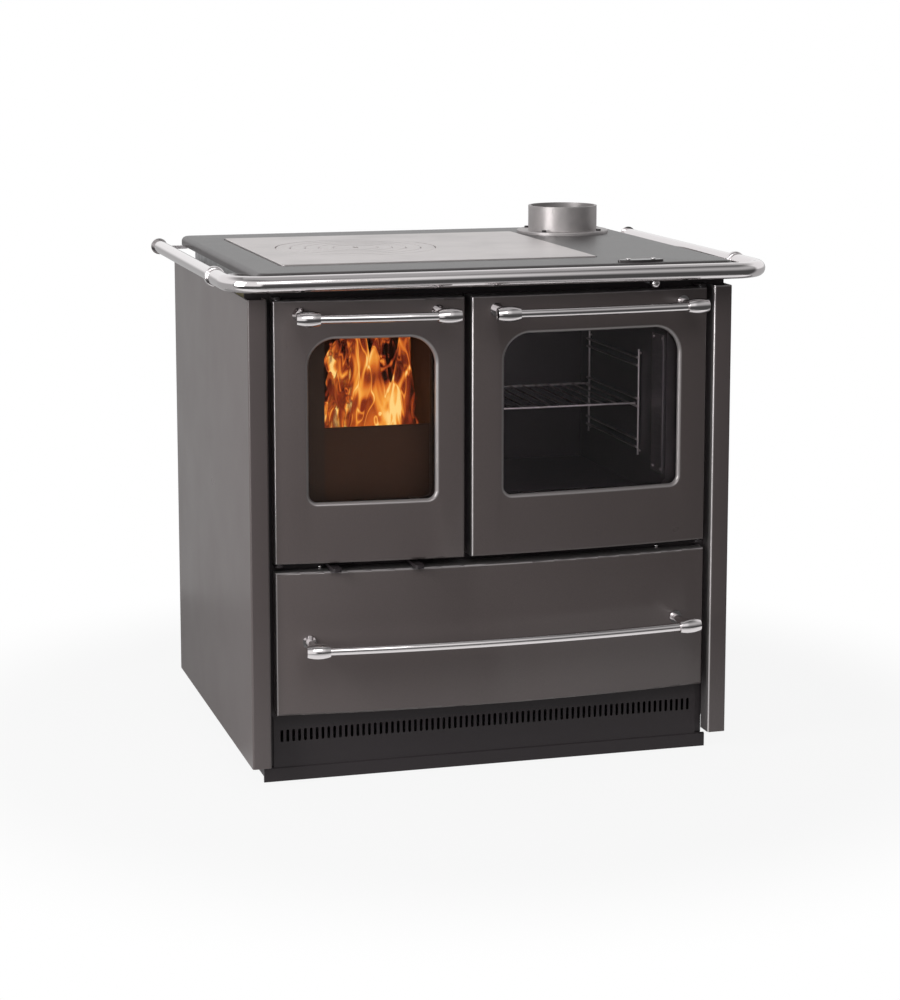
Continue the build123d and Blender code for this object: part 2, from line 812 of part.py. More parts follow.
with BuildPart() as top_frame:
    with BuildSketch(Plane.XY.offset(top_underside)) as frame_outline:
        with Locations((0, (frame_y_front + frame_y_rear) / 2)):
            RectangleRounded(2 * frame_half, frame_y_rear - frame_y_front, frame_corner)
    extrude(amount=frame_thickness)
    fillet(top_frame.faces().sort_by(Axis.Z)[-1].edges(), radius=frame_round)
    with BuildSketch(Plane.XY.offset(plate_bottom)):
        with Locations(plate_centre):
            RectangleRounded(
                plate_size[0] + 2 * plate_gap,
                plate_size[1] + 2 * plate_gap,
                plate_corner + plate_gap,
            )
    extrude(amount=plate_thickness, mode=Mode.SUBTRACT)
    with BuildSketch(Plane.XY.offset(top_underside)):
        with Locations(plate_centre):
            Rectangle(plate_size[0] - 2 * plate_ledge, plate_size[1] - 2 * plate_ledge)
        with Locations(flue_centre):
            Circle(spigot_radius - spigot_wall)
    extrude(amount=frame_thickness, mode=Mode.SUBTRACT)
finish(top_frame, "top_frame")

with BuildPart() as blank_badge:
    with BuildSketch(Plane.XY.offset(frame_top)):
        with Locations((badge_x, post_face - badge_front)):
            Ellipse(badge_length / 2, badge_width / 2)
    extrude(amount=badge_thickness)
    fillet(blank_badge.faces().sort_by(Axis.Z)[-1].edges(), radius=badge_thickness / 3)
    with BuildSketch(Plane.XY.offset(frame_top + badge_thickness)):
        with Locations((badge_x, post_face - badge_front)):
            with GridLocations(badge_rivet_pitch, 0, 2, 1):
                Circle(badge_rivet_radius)
    extrude(amount=badge_rivet_radius / 2)
    fillet(blank_badge.edges().group_by(Axis.Z)[-1], radius=badge_rivet_radius / 3)
finish(blank_badge, "blank_badge")

ring_centre = (ring_centre_x, post_face + ring_centre_y)
with BuildPart() as hob_plate:
    with BuildSketch(Plane.XY.offset(plate_bottom)):
        with Locations(plate_centre):
            RectangleRounded(*plate_size, plate_corner)
    extrude(amount=plate_thickness)
    chamfer(hob_plate.faces().sort_by(Axis.Z)[-1].edges(), length=0.8)
    with BuildSketch(Plane.XY.offset(hob_height)):
        with Locations(ring_centre):
            Circle(ring_radii[0] + ring_gap)
    extrude(amount=-ring_lip, mode=Mode.SUBTRACT)
    with BuildSketch(Plane.XY.offset(plate_bottom)):
        with Locations(ring_centre):
            Circle(ring_radii[0] + ring_gap - ring_step)
    extrude(amount=plate_thickness, mode=Mode.SUBTRACT)
finish(hob_plate, "hob_plate")


def hob_ring(outer, hole):
    """A round plate that rests on the step of the piece around it, with a step of its own."""
    with BuildPart() as ring:
        with BuildSketch(Plane.XY.offset(hob_height - ring_lip)):
            with Locations(ring_centre):
                Circle(outer)
        extrude(amount=ring_lip)
        with BuildSketch(Plane.XY.offset(plate_bottom)):
            with Locations(ring_centre):
                Circle(outer - ring_step)
        extrude(amount=plate_thickness - ring_lip)
        if hole:
            with BuildSketch(Plane.XY.offset(hob_height)):
                with Locations(ring_centre):
                    Circle(hole + ring_gap)
            extrude(amount=-ring_lip, mode=Mode.SUBTRACT)
            with BuildSketch(Plane.XY.offset(plate_bottom)):
                with Locations(ring_centre):
                    Circle(hole + ring_gap - ring_step)
            extrude(amount=plate_thickness, mode=Mode.SUBTRACT)
        rims = ring.faces().sort_by(Axis.Z)[-1].edges()
        chamfer(rims, length=ring_chamfer)
        if not hole:
            # The slot takes the lifting hook.
            with BuildSketch(Plane.XY.offset(hob_height)):
                with Locations(ring_centre):
                    SlotOverall(hook_slot_length, hook_slot_width, rotation=90)
            extrude(amount=-ring_lip, mode=Mode.SUBTRACT)
    return ring


ring_names = ("hob_ring_outer", "hob_ring_second", "hob_ring_third", "hob_ring_inner")
for ring_name, outer, hole in zip(ring_names, ring_radii, ring_radii[1:]):
    finish(hob_ring(outer, hole), ring_name)
finish(hob_ring(ring_radii[-1], 0), "hob_centre_disc")

with BuildPart() as flue_collar:
    with BuildSketch(Plane.XY.offset(frame_top)):
        with Locations(flue_centre):
            Circle(flue_flange_radius)
    extrude(amount=flue_flange_thickness)
    with BuildSketch(Plane.XY.offset(frame_top)):
        with Locations(flue_centre):
            Circle(spigot_radius)
    extrude(amount=spigot_height)
    with BuildSketch(Plane.XY.offset(frame_top)):
        with Locations(flue_centre):
            Circle(spigot_radius - spigot_wall)
    extrude(amount=spigot_height, mode=Mode.SUBTRACT)
    flange_rim = flue_collar.edges().filter_by(GeomType.CIRCLE).sort_by(SortBy.RADIUS)[-2:]
    fillet(flange_rim.sort_by(Axis.Z)[-1:], radius=flue_flange_round)
    with BuildSketch(Plane.XY.offset(frame_top)):
        with Locations(flue_centre):
            with PolarLocations(flue_screw_circle_radius, flue_flange_screws, start_angle=45):
                Circle(screw_radius + fastener_gap)
    extrude(amount=flue_flange_thickness, mode=Mode.SUBTRACT)
finish(flue_collar, "flue_collar")

with BuildPart() as flue_collar_screws:
    flange_top = frame_top + flue_flange_thickness
    with BuildSketch(Plane.XY.offset(flange_top)):
        with Locations(flue_centre):
            with PolarLocations(flue_screw_circle_radius, flue_flange_screws, start_angle=45):
                Circle(screw_head_radius)
    extrude(amount=screw_head_height)
    with BuildSketch(Plane.XY.offset(frame_top)):
        with Locations(flue_centre):
            with PolarLocations(flue_screw_circle_radius, flue_flange_screws, start_angle=45):
                Circle(screw_radius)
    extrude(amount=flue_flange_thickness)
    head_rims = flue_collar_screws.edges().group_by(Axis.Z)[-1]
    fillet(head_rims, radius=screw_head_round)
finish(flue_collar_screws, "flue_collar_screws")

# ================================================================ flue box and damper
flue_front_y = post_face + flue_wall_front
port_centre_z = (port_bottom + port_top) / 2
oven_roof = oven_top + oven_wall
with BuildPart() as flue_box:
    box_between(
        (flue_wall_left, bay_inner_half),
        (flue_front_y, flue_front_y + flue_wall),
        (oven_roof, top_underside),
    )
    box_between(
        (flue_wall_left, flue_wall_left + flue_wall),
        (flue_front_y, inner_rear - inner_wall),
        (oven_roof, top_underside),
    )
    cut_between(
        (damper_x - port_width / 2, damper_x + port_width / 2),
        (flue_front_y, flue_front_y + flue_wall),
        (port_bottom, port_top),
    )
    # A bracket on the oven roof guides the damper's rod.
    guide_y = post_face + guide_depth
    guide_half = 3 * damper_rod_radius
    box_between(
        (damper_x - guide_half, damper_x + guide_half),
        (guide_y, guide_y + flue_wall),
        (oven_roof, damper_height + guide_half),
    )
    box_between(
        (damper_x - guide_half, damper_x + guide_half),
        (guide_y, guide_y + 2 * guide_half),
        (oven_roof, oven_roof + flue_wall),
    )
    with Locations(Location((damper_x, guide_y, damper_height), (90, 0, 0))):
        Cylinder(damper_rod_radius + damper_fit, 4 * flue_wall, mode=Mode.SUBTRACT)
finish(flue_box, "flue_box")

with BuildPart() as damper_rod:
    rod_rear = flue_front_y - seat_gap - damper_plate_thickness
    knob_back = post_face - damper_knob_front + damper_knob_length
    with BuildSketch(facing(knob_back)):
        with Locations((damper_x, damper_height)):
            Circle(damper_rod_radius)
    extrude(amount=knob_back - rod_rear)
    box_between(
        (damper_x - port_width / 2 - damper_lap, damper_x + port_width / 2 + damper_lap),
        (rod_rear, rod_rear + damper_plate_thickness),
        (port_bottom - damper_lap, port_top + damper_lap),
    )
finish(damper_rod, "damper_rod")

with BuildPart() as damper_knob:
    with BuildSketch(facing(knob_back)):
        with Locations((damper_x, damper_height)):
            Circle(damper_knob_radius)
    extrude(amount=damper_knob_length)
    fillet(damper_knob.edges().group_by(Axis.Y)[0], radius=damper_knob_radius * 0.8)
    fillet(damper_knob.edges().group_by(Axis.Y)[-1], radius=1.5)
finish(damper_knob, "damper_knob")


# ================================================================ air slides
def air_slide(x):
    """A shutter behind the front frame with a lever that comes out through its slot."""
    plate_y = frame_back + seat_gap
    plate_half = air_travel + lever_half_width + air_slot_half_height + air_plate_lap
    with BuildPart() as slide:
        box_between(
            (x - plate_half, x + plate_half),
            (plate_y, plate_y + sheet),
            (lever_height - air_plate_half_height, lever_height + air_plate_half_height),
        )
        box_between(
            (x - lever_half_width, x + lever_half_width),
            (bow_y(x) - lever_reach, plate_y),
            (lever_height - lever_half_thickness, lever_height + lever_half_thickness),
        )
        tip = slide.edges().filter_by(Axis.Z).group_by(Axis.Y)[0]
        fillet(tip, radius=lever_half_width * 0.6)
    return slide


finish(air_slide(primary_lever_x), "primary_air_slide")
finish(air_slide(secondary_lever_x), "secondary_air_slide")

# ================================================================ rail
leg_end_y = post_face + rail_leg_end
rail_y = post_face - rail_front
with BuildPart() as front_rail:
    with BuildLine(Plane.XY.offset(rail_height)) as rail_path:
        FilletPolyline(
            (-rail_half, leg_end_y),
            (-rail_half, rail_y),
            (rail_half, rail_y),
            (rail_half, leg_end_y),
            radius=rail_bend,
        )
    with BuildSketch(facing(leg_end_y)):
        with Locations((-rail_half, rail_height)):
            Circle(rail_radius)
            Circle(rail_radius - rail_wall, mode=Mode.SUBTRACT)
    sweep(path=rail_path.wires()[0])
finish(front_rail, "front_rail")

side_rail_start = leg_end_y + rail_collar_length
with BuildPart() as side_rails:
    with BuildSketch(facing(side_rail_start)):
        with Locations((-rail_half, rail_height), (rail_half, rail_height)):
            Circle(side_rail_radius)
            Circle(side_rail_radius - rail_wall, mode=Mode.SUBTRACT)
    extrude(amount=side_rail_start - (post_face + side_rail_end))
finish(side_rails, "side_rails")

with BuildPart() as rail_fittings:
    with BuildSketch(facing(leg_end_y)):
        with Locations((-rail_half, rail_height), (rail_half, rail_height)):
            Circle(rail_collar_radius)
    extrude(amount=-rail_collar_length)
    fillet(rail_fittings.edges().filter_by(GeomType.CIRCLE), radius=4)
    cap_start = post_face + side_rail_end
    with BuildSketch(facing(cap_start)):
        with Locations((-rail_half, rail_height), (rail_half, rail_height)):
            Circle(end_cap_radius)
    extrude(amount=-end_cap_length)
    fillet(rail_fittings.edges().group_by(Axis.Y)[-1], radius=end_cap_length * 0.7)
finish(rail_fittings, "rail_fittings")

with BuildPart() as rail_brackets:
    bracket_bottom = rail_height - bracket_thickness / 2
    bracket_top = rail_height + bracket_thickness / 2
    for side in (-1, 1):
        for y in (leg_end_y + rail_collar_length / 2, post_face + side_bracket_rear):
            bracket_xs = sorted((side * frame_half, side * rail_half))
            box_between(
                bracket_xs,
                (y - bracket_width / 2, y + bracket_width / 2),
                (bracket_bottom, bracket_top),
            )
        box_between(
            (side * front_bracket_half - bracket_width / 2, side * front_bracket_half + bracket_width / 2),
            (rail_y, frame_y_front),
            (bracket_bottom, bracket_top),
        )
    with BuildSketch(facing(leg_end_y)):
        with Locations((-rail_half, rail_height), (rail_half, rail_height)):
            Circle(side_rail_radius + seat_gap)
    extrude(amount=-side_rail_end, mode=Mode.SUBTRACT)
    with BuildSketch(facing(leg_end_y)):
        with Locations((-rail_half, rail_height), (rail_half, rail_height)):
            Circle(rail_collar_radius + seat_gap)
    extrude(amount=-rail_collar_length, mode=Mode.SUBTRACT)
    with BuildSketch(Plane.YZ.offset(-rail_half)):
        with Locations((rail_y, rail_height)):
            Circle(rail_radius + seat_gap)
    extrude(amount=2 * rail_half, mode=Mode.SUBTRACT)
finish(rail_brackets, "rail_brackets")

# ================================================================ handles
def handle_bar(left, right, z):
    """A round bar bent like the front behind it, from cap to cap."""
    reach = handle_cap_length / 2 - handle_socket
    start = left + reach
    end = right - reach
    middle = (start + end) / 2
    with BuildPart() as bar:
        with BuildLine(Plane.XY.offset(z)) as path:
            ThreePointArc(*[(x, bow_y(x) - handle_standoff) for x in (start, middle, end)])
        with BuildSketch(Plane(origin=path.line @ 0, z_dir=path.line % 0)):
            Circle(handle_bar_radius)
        sweep()
    return bar


def handle_end(x, z, inward):
    """One barrel cap with its stem and rosette; the bar enters it on its inward side."""
    seat = bow_frame(x, z)
    cap_centre = seat.origin - Vector(0, handle_standoff, 0)
    along = seat.x_dir
    half = handle_cap_length / 2
    lying = Plane(origin=cap_centre, x_dir=along, z_dir=(0, 0, 1))
    socket = Plane(
        origin=cap_centre + along * (inward * half),
        x_dir=(0, 0, 1),
        z_dir=along * (-inward),
    )
    with BuildPart() as end:
        with BuildSketch(seat.offset(seat_gap)):
            Circle(rosette_radius)
        extrude(amount=rosette_height)
        # The stem runs straight to the front, so that both stems of a bar are parallel.
        with BuildSketch(facing(bow_y(x) - rosette_height / 2)):
            with Locations((x, z)):
                Circle(handle_stem_radius)
        extrude(amount=handle_standoff - rosette_height / 2)
        with BuildSketch(lying):
            with BuildLine():
                Polyline(
                    (half, handle_cap_end_radius),
                    (half, 0),
                    (-half, 0),
                    (-half, handle_cap_end_radius),
                )
                ThreePointArc(
                    (-half, handle_cap_end_radius),
                    (0, handle_cap_radius),
                    (half, handle_cap_end_radius),
                )
            make_face()
        revolve(axis=Axis(cap_centre, along))
        with BuildSketch(socket):
            Circle(handle_bar_radius + handle_fit)
        extrude(amount=handle_socket + handle_fit, mode=Mode.SUBTRACT)
    return end.part


def handle_ends(left, right, z):
    """The two cast ends that carry a handle bar."""
    with BuildPart() as ends:
        add(handle_end(left, z, 1))
        add(handle_end(right, z, -1))
    return ends


finish(handle_bar(firebox_handle_left, firebox_handle_right, door_handle_height), "firebox_handle_bar")
finish(handle_ends(firebox_handle_left, firebox_handle_right, door_handle_height), "firebox_handle_ends")
finish(handle_bar(oven_handle_left, oven_handle_right, door_handle_height), "oven_handle_bar")
finish(handle_ends(oven_handle_left, oven_handle_right, door_handle_height), "oven_handle_ends")
finish(handle_bar(-drawer_handle_half, drawer_handle_half, drawer_handle_height), "drawer_handle_bar")
finish(handle_ends(-drawer_handle_half, drawer_handle_half, drawer_handle_height), "drawer_handle_ends")

# ================================================================ doors
door_back = post_face + door_back_depth
hinge_x = door_half - hinge_inset
hinge_y = post_face + hinge_depth


def window_rim(panel, window):
    """The edges where the walls of the window meet the bowed front."""
    left, right, bottom, top = window
    rim = []
    for edge in panel.edges():
        middle = edge @ 0.5
        on_window = left - 0.5 < middle.X < right + 0.5 and bottom - 0.5 < middle.Z < top + 0.5
        if on_window and abs(middle.Y - bow_y(middle.X)) < 0.2:
            rim.append(edge)
    return rim


def door_panel(left, right, window, hinge_side):
    """A bowed enamelled skin with folded edges, a window with a rolled lip and two hinge bosses."""
    pin_x = hinge_side * hinge_x
    with BuildPart() as panel:
        add(bowed_block(left, right, door_bottom, door_top, 0, door_back, door_corner))
        add(
            bowed_block(
                left + door_skin,
                right - door_skin,
                door_bottom + door_skin,
                door_top - door_skin,
                door_skin,
                door_back,
            ),
            mode=Mode.SUBTRACT,
        )
        with BuildPart(mode=Mode.PRIVATE) as lip:
            with BuildSketch(facing(door_back)):
                add(window_outline(*window, lip_wall))
            extrude(amount=3 * door_back_depth)
            add(bowed_band(left, right, door_bottom, door_top, 0, lip_depth), mode=Mode.INTERSECT)
        add(lip.part)
        with BuildSketch(facing(door_back)):
            add(window_outline(*window))
        extrude(amount=3 * door_back_depth, mode=Mode.SUBTRACT)
        fillet(window_rim(panel, window), radius=lip_round)
        for low in (door_bottom, door_top - hinge_engagement):
            with BuildSketch(Plane.XY.offset(low)):
                with Locations((pin_x, hinge_y + 1)):
                    Rectangle(2 * hinge_inset - 2 * door_skin, 2 * hinge_inset - 2)
            extrude(amount=hinge_engagement)
        for low in (door_bottom, door_top - hinge_engagement):
            with BuildSketch(Plane.XY.offset(low)):
                with Locations((pin_x, hinge_y)):
                    Circle(hinge_pin_radius + hinge_fit)
            extrude(amount=hinge_engagement, mode=Mode.SUBTRACT)
        # The bosses follow the rounded edges of the skin.
        add(
            bowed_block(left, right, door_bottom, door_top, 0, door_back, door_corner),
            mode=Mode.INTERSECT,
        )
    return panel


firebox_window = (firebox_window_left, firebox_window_right, window_bottom, window_top)
oven_window = (oven_window_left, oven_window_right, window_bottom, window_top)
firebox_door_panel = door_panel(-door_half, firebox_door_inner_edge, firebox_window, -1)
finish(firebox_door_panel, "firebox_door_panel")
oven_door_panel = door_panel(oven_door_inner_edge, door_half, oven_window, 1)
finish(oven_door_panel, "oven_door_panel")


def door_glass(window):
    """A pane bent to the bow, that lies against the lip behind the window."""
    left, right, bottom, top = window
    near = lip_depth + seat_gap
    with BuildPart() as glass:
        add(
            bowed_band(
                left - glass_overlap,
                right + glass_overlap,
                bottom - glass_overlap,
                top + glass_overlap,
                near,
                near + glass_thickness,
            )
        )
    return glass


finish(door_glass(firebox_window), "firebox_door_glass")
finish(door_glass(oven_window), "oven_door_glass")


def door_liner(left, right, opening, window):
    """The flat plate that closes the back of a door, with the tabs that press on the glass."""
    w_left, w_right, w_bottom, w_top = window
    inset = door_skin + seat_gap
    with BuildPart() as liner:
        box_between(
            (left + inset, right - inset),
            (door_back - liner_thickness, door_back),
            (door_bottom + inset, door_top - inset),
        )
        with BuildSketch(facing(door_back)):
            with Locations(((opening[0] + opening[1]) / 2, (w_bottom + w_top) / 2)):
                RectangleRounded(
                    opening[1] - opening[0],
                    w_top - w_bottom + 2 * lip_wall,
                    window_bottom_radius,
                )
        extrude(amount=liner_thickness, mode=Mode.SUBTRACT)
        # Hinge bosses pass through notches in the outer corners.
        pin_side = left if abs(left) > abs(right) else right
        for z in (door_bottom + inset, door_top - inset):
            with Locations((pin_side, door_back, z)):
                Box(4.5 * hinge_inset, 2 * liner_thickness, 2 * (hinge_engagement + 1), mode=Mode.SUBTRACT)
        # Clips press the pane against the lip.
        for x in (w_left + glass_overlap * 2, w_right - glass_overlap * 2):
            pane_back = bow_y(x, -(lip_depth + 2 * seat_gap + glass_thickness)) + 1.0
            for z in (w_bottom - glass_overlap / 2, w_top + glass_overlap / 2):
                box_between((x - 8, x + 8), (pane_back, door_back - liner_thickness), (z - 4, z + 4))
    return liner


fire_liner_opening = (fire_opening_left, fire_opening_right)
oven_liner_opening = (oven_window_left - lip_wall, oven_mouth_right - 2)
finish(
    door_liner(-door_half, firebox_door_inner_edge, fire_liner_opening, firebox_window),
    "firebox_door_liner",
)
finish(
    door_liner(oven_door_inner_edge, door_half, oven_liner_opening, oven_window),
    "oven_door_liner",
)


def door_seal(left, right, bottom, top):
    """A rope seal pressed flat between the liner and the front frame, around an opening."""
    width = right - left + 2 * (seal_margin + seal_width)
    height = top - bottom + 2 * (seal_margin + seal_width)
    corner = window_bottom_radius + seal_margin + seal_width
    with BuildPart() as seal:
        with BuildSketch(facing(frame_front - seat_gap)):
            with Locations(((left + right) / 2, (bottom + top) / 2)):
                RectangleRounded(width, height, corner)
                RectangleRounded(
                    width - 2 * seal_width,
                    height - 2 * seal_width,
                    corner - seal_width,
                    mode=Mode.SUBTRACT,
                )
        extrude(amount=frame_depth - door_back_depth - seat_gap)
    return seal


finish(
    door_seal(fire_opening_left, fire_opening_right, fire_opening_bottom + seal_width, fire_opening_top),
    "firebox_door_seal",
)
finish(door_seal(oven_mouth_left, oven_mouth_right, oven_bottom, oven_top), "oven_door_seal")

# ================================================================ hinges and catches
with BuildPart() as hinge_brackets:
    for side in (-1, 1):
        for low in (door_bottom - hinge_gap - hinge_plate, door_top + hinge_gap):
            box_between(
                (side * hinge_x - hinge_plate_half, side * hinge_x + hinge_plate_half),
                (hinge_y - hinge_plate_half, frame_front),
                (low, low + hinge_plate),
            )
            with Locations((side * hinge_x, hinge_y, low + hinge_plate / 2)):
                Cylinder(hinge_pin_radius + hinge_fit / 2, 2 * hinge_plate, mode=Mode.SUBTRACT)
    corners = [e for e in hinge_brackets.edges().filter_by(Axis.Z) if e.center().Y < hinge_y - 1]
    fillet(corners, radius=hinge_plate_half * 0.8)
finish(hinge_brackets, "hinge_brackets")

with BuildPart() as hinge_pins:
    pin_reach = hinge_engagement - 2 + hinge_gap + hinge_plate
    for side in (-1, 1):
        for low in (door_bottom - hinge_gap - hinge_plate, door_top + hinge_gap + hinge_plate - pin_reach):
            with Locations((side * hinge_x, hinge_y, low)):
                Cylinder(hinge_pin_radius, pin_reach, align=(Align.CENTER, Align.CENTER, Align.MIN))
finish(hinge_pins, "hinge_pins")

catch_z = (door_bottom + door_top) / 2
with BuildPart() as door_catches:
    for x in (firebox_door_inner_edge - door_skin - catch_width, oven_door_inner_edge + door_skin):
        box_between(
            (x, x + catch_width),
            (frame_front - catch_depth, frame_front),
            (catch_z - catch_height / 2, catch_z + catch_height / 2),
        )
    fillet(door_catches.edges().filter_by(Axis.Z).group_by(Axis.Y)[0], radius=1.5)
finish(door_catches, "door_catches")

# ================================================================ drawer
with BuildPart() as drawer_front:
    add(
        bowed_block(
            -door_half, door_half, drawer_front_bottom, drawer_front_top, 0, door_back, door_corner
        )
    )
    add(
        bowed_block(
            -door_half + door_skin,
            door_half - door_skin,
            drawer_front_bottom + door_skin,
            drawer_front_top - door_skin,
            door_skin,
            door_back,
        ),
        mode=Mode.SUBTRACT,
    )
finish(drawer_front, "drawer_front")

with BuildPart() as drawer_box:
    inset = door_skin + seat_gap
    box_between(
        (-door_half + inset, door_half - inset),
        (door_back - drawer_sheet, door_back),
        (drawer_front_bottom + inset, drawer_front_top - inset),
    )
    box_between(
        (-drawer_box_half, drawer_box_half),
        (door_back, door_back + drawer_box_length),
        (drawer_box_bottom, drawer_box_top),
    )
    cut_between(
        (-drawer_box_half + drawer_sheet, drawer_box_half - drawer_sheet),
        (door_back, door_back + drawer_box_length - drawer_sheet),
        (drawer_box_bottom + drawer_sheet, drawer_box_top),
    )
    for side in (-1, 1):
        flange_xs = sorted((side * drawer_box_half, side * (drawer_box_half + drawer_flange)))
        box_between(
            flange_xs,
            (door_back + drawer_flange_start, door_back + drawer_box_length),
            (drawer_flange_height, drawer_flange_height + 2 * drawer_sheet),
        )
finish(drawer_box, "drawer_box")

with BuildPart() as drawer_runners:
    runner_top = drawer_flange_height - runner_fit
    runner_rear = inner_rear - inner_wall
    for side in (-1, 1):
        shelf_edge = side * (drawer_box_half + drawer_flange - runner_overlap)
        wall_face = side * bay_inner_half
        box_between(
            sorted((shelf_edge, wall_face)),
            (frame_back, runner_rear),
            (runner_top - runner_thickness, runner_top),
        )
        box_between(
            sorted((wall_face - side * runner_thickness, wall_face)),
            (frame_back, runner_rear),
            (runner_top - runner_drop, runner_top + runner_rise),
        )
finish(drawer_runners, "drawer_runners")
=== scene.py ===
import math
import random

import bmesh
import bpy
from mathutils import Matrix, Vector, noise


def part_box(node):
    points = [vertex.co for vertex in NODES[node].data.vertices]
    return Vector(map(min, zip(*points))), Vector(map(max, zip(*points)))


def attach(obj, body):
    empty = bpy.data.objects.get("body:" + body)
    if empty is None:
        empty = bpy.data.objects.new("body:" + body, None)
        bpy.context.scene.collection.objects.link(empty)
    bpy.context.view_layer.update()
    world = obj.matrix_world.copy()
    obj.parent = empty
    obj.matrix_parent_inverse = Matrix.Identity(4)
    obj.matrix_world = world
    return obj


bl_info = {
    "name": "Wood cookstove finishes",
    "version": (1, 0, 0),
    "blender": (4, 5, 0),
    "location": "View3D > Sidebar > Cookstove",
    "description": "Finishes, fire and studio for a wood cookstove",
    "category": "Object",
}

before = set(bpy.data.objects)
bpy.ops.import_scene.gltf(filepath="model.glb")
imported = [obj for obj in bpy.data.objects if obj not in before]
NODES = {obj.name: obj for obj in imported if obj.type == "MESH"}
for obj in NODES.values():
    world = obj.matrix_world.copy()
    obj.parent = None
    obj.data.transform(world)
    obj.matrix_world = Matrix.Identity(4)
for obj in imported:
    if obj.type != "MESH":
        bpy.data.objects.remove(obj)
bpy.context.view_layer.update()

POST_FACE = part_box("left_side_panel")[0].y
GRATE_LOW, GRATE_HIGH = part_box("fire_grate")
BRICK_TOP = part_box("firebricks")[1].z
RETAINER_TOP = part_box("log_retainer")[1].z
FLAME_MAP = "fullness"
FLOOR_RADIUS = 1.25
WINDOW_FOOT, WINDOW_HEAD = 0.476, 0.745
WINDOW_HEAD_RADIUS, WINDOW_FOOT_RADIUS = 0.045, 0.014
FIREBOX_WINDOW = (-0.317, -0.108)
OVEN_WINDOW = (0.009, 0.322)
LIP_ROUND = 0.006
EDGE_ROUND = 0.003
BASE_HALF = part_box("plinth_grille")[1].x - 0.01
BASE_REACH = abs(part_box("plinth_grille")[0].y) - 0.01


class StoveFinish(bpy.types.PropertyGroup):
    """Colours and surface values of the stove's finishes."""

    side_enamel: bpy.props.FloatVectorProperty(
        name="Side enamel",
        description="Warm grey enamel of the side panels and their posts",
        subtype="COLOR",
        size=3,
        min=0.0,
        max=1.0,
        default=(0.1, 0.083, 0.082),
    )
    door_enamel: bpy.props.FloatVectorProperty(
        name="Door enamel",
        description="Warm anthracite enamel of the doors and the drawer front",
        subtype="COLOR",
        size=3,
        min=0.0,
        max=1.0,
        default=(0.104, 0.086, 0.084),
    )
    plinth_paint: bpy.props.FloatVectorProperty(
        name="Plinth paint",
        description="Satin black of the plinth, the front frame and the door liners",
        subtype="COLOR",
        size=3,
        min=0.0,
        max=1.0,
        default=(0.026, 0.021, 0.023),
    )
    cast_iron: bpy.props.FloatVectorProperty(
        name="Cast iron",
        description="Polished casting of the frame round the hob",
        subtype="COLOR",
        size=3,
        min=0.0,
        max=1.0,
        default=(0.066, 0.059, 0.06),
    )
    machined_iron: bpy.props.FloatVectorProperty(
        name="Machined iron",
        description="Ground surface of the hob plate and its rings",
        subtype="COLOR",
        size=3,
        min=0.0,
        max=1.0,
        default=(0.62, 0.58, 0.575),
    )
    chrome: bpy.props.FloatVectorProperty(
        name="Chrome",
        description="Plating of the rail, the handles and the knob",
        subtype="COLOR",
        size=3,
        min=0.0,
        max=1.0,
        default=(0.72, 0.685, 0.69),
    )
    oven_enamel: bpy.props.FloatVectorProperty(
        name="Oven enamel",
        description="Dark flecked enamel inside the oven",
        subtype="COLOR",
        size=3,
        min=0.0,
        max=1.0,
        default=(0.038, 0.03, 0.035),
    )
    enamel_roughness: bpy.props.FloatProperty(
        name="Enamel roughness",
        description="How satin the enamelled sheets are",
        subtype="FACTOR",
        min=0.0,
        max=1.0,
        default=0.3,
    )
    chrome_roughness: bpy.props.FloatProperty(
        name="Chrome roughness",
        description="Blur of the reflections in the plated pieces",
        subtype="FACTOR",
        min=0.0,
        max=1.0,
        default=0.07,
    )


class StoveFire(bpy.types.PropertyGroup):
    """Sizes and strength of the fire in the firebox."""

    veils: bpy.props.IntProperty(
        name="Flame veils",
        description="How many veils of flame rise from the logs, one behind the other",
        min=1,
        max=4,
        default=4,
    )
    flame_height: bpy.props.FloatProperty(
        name="Flame height",
        description="Height of the tallest flame over the log retainer",
        subtype="DISTANCE",
        unit="LENGTH",
        min=0.02,
        max=0.3,
        default=0.185,
    )
    flame_strength: bpy.props.FloatProperty(
        name="Flame strength",
        description="Light that the flames give off",
        min=0.0,
        max=20.0,
        default=1.3,
    )
    log_radius: bpy.props.FloatProperty(
        name="Log radius",
        description="Radius of a split log",
        subtype="DISTANCE",
        unit="LENGTH",
        min=0.01,
        max=0.08,
        default=0.03,
    )
    seed: bpy.props.IntProperty(
        name="Seed",
        description="Start of the random numbers that shape the flames",
        default=7,
    )


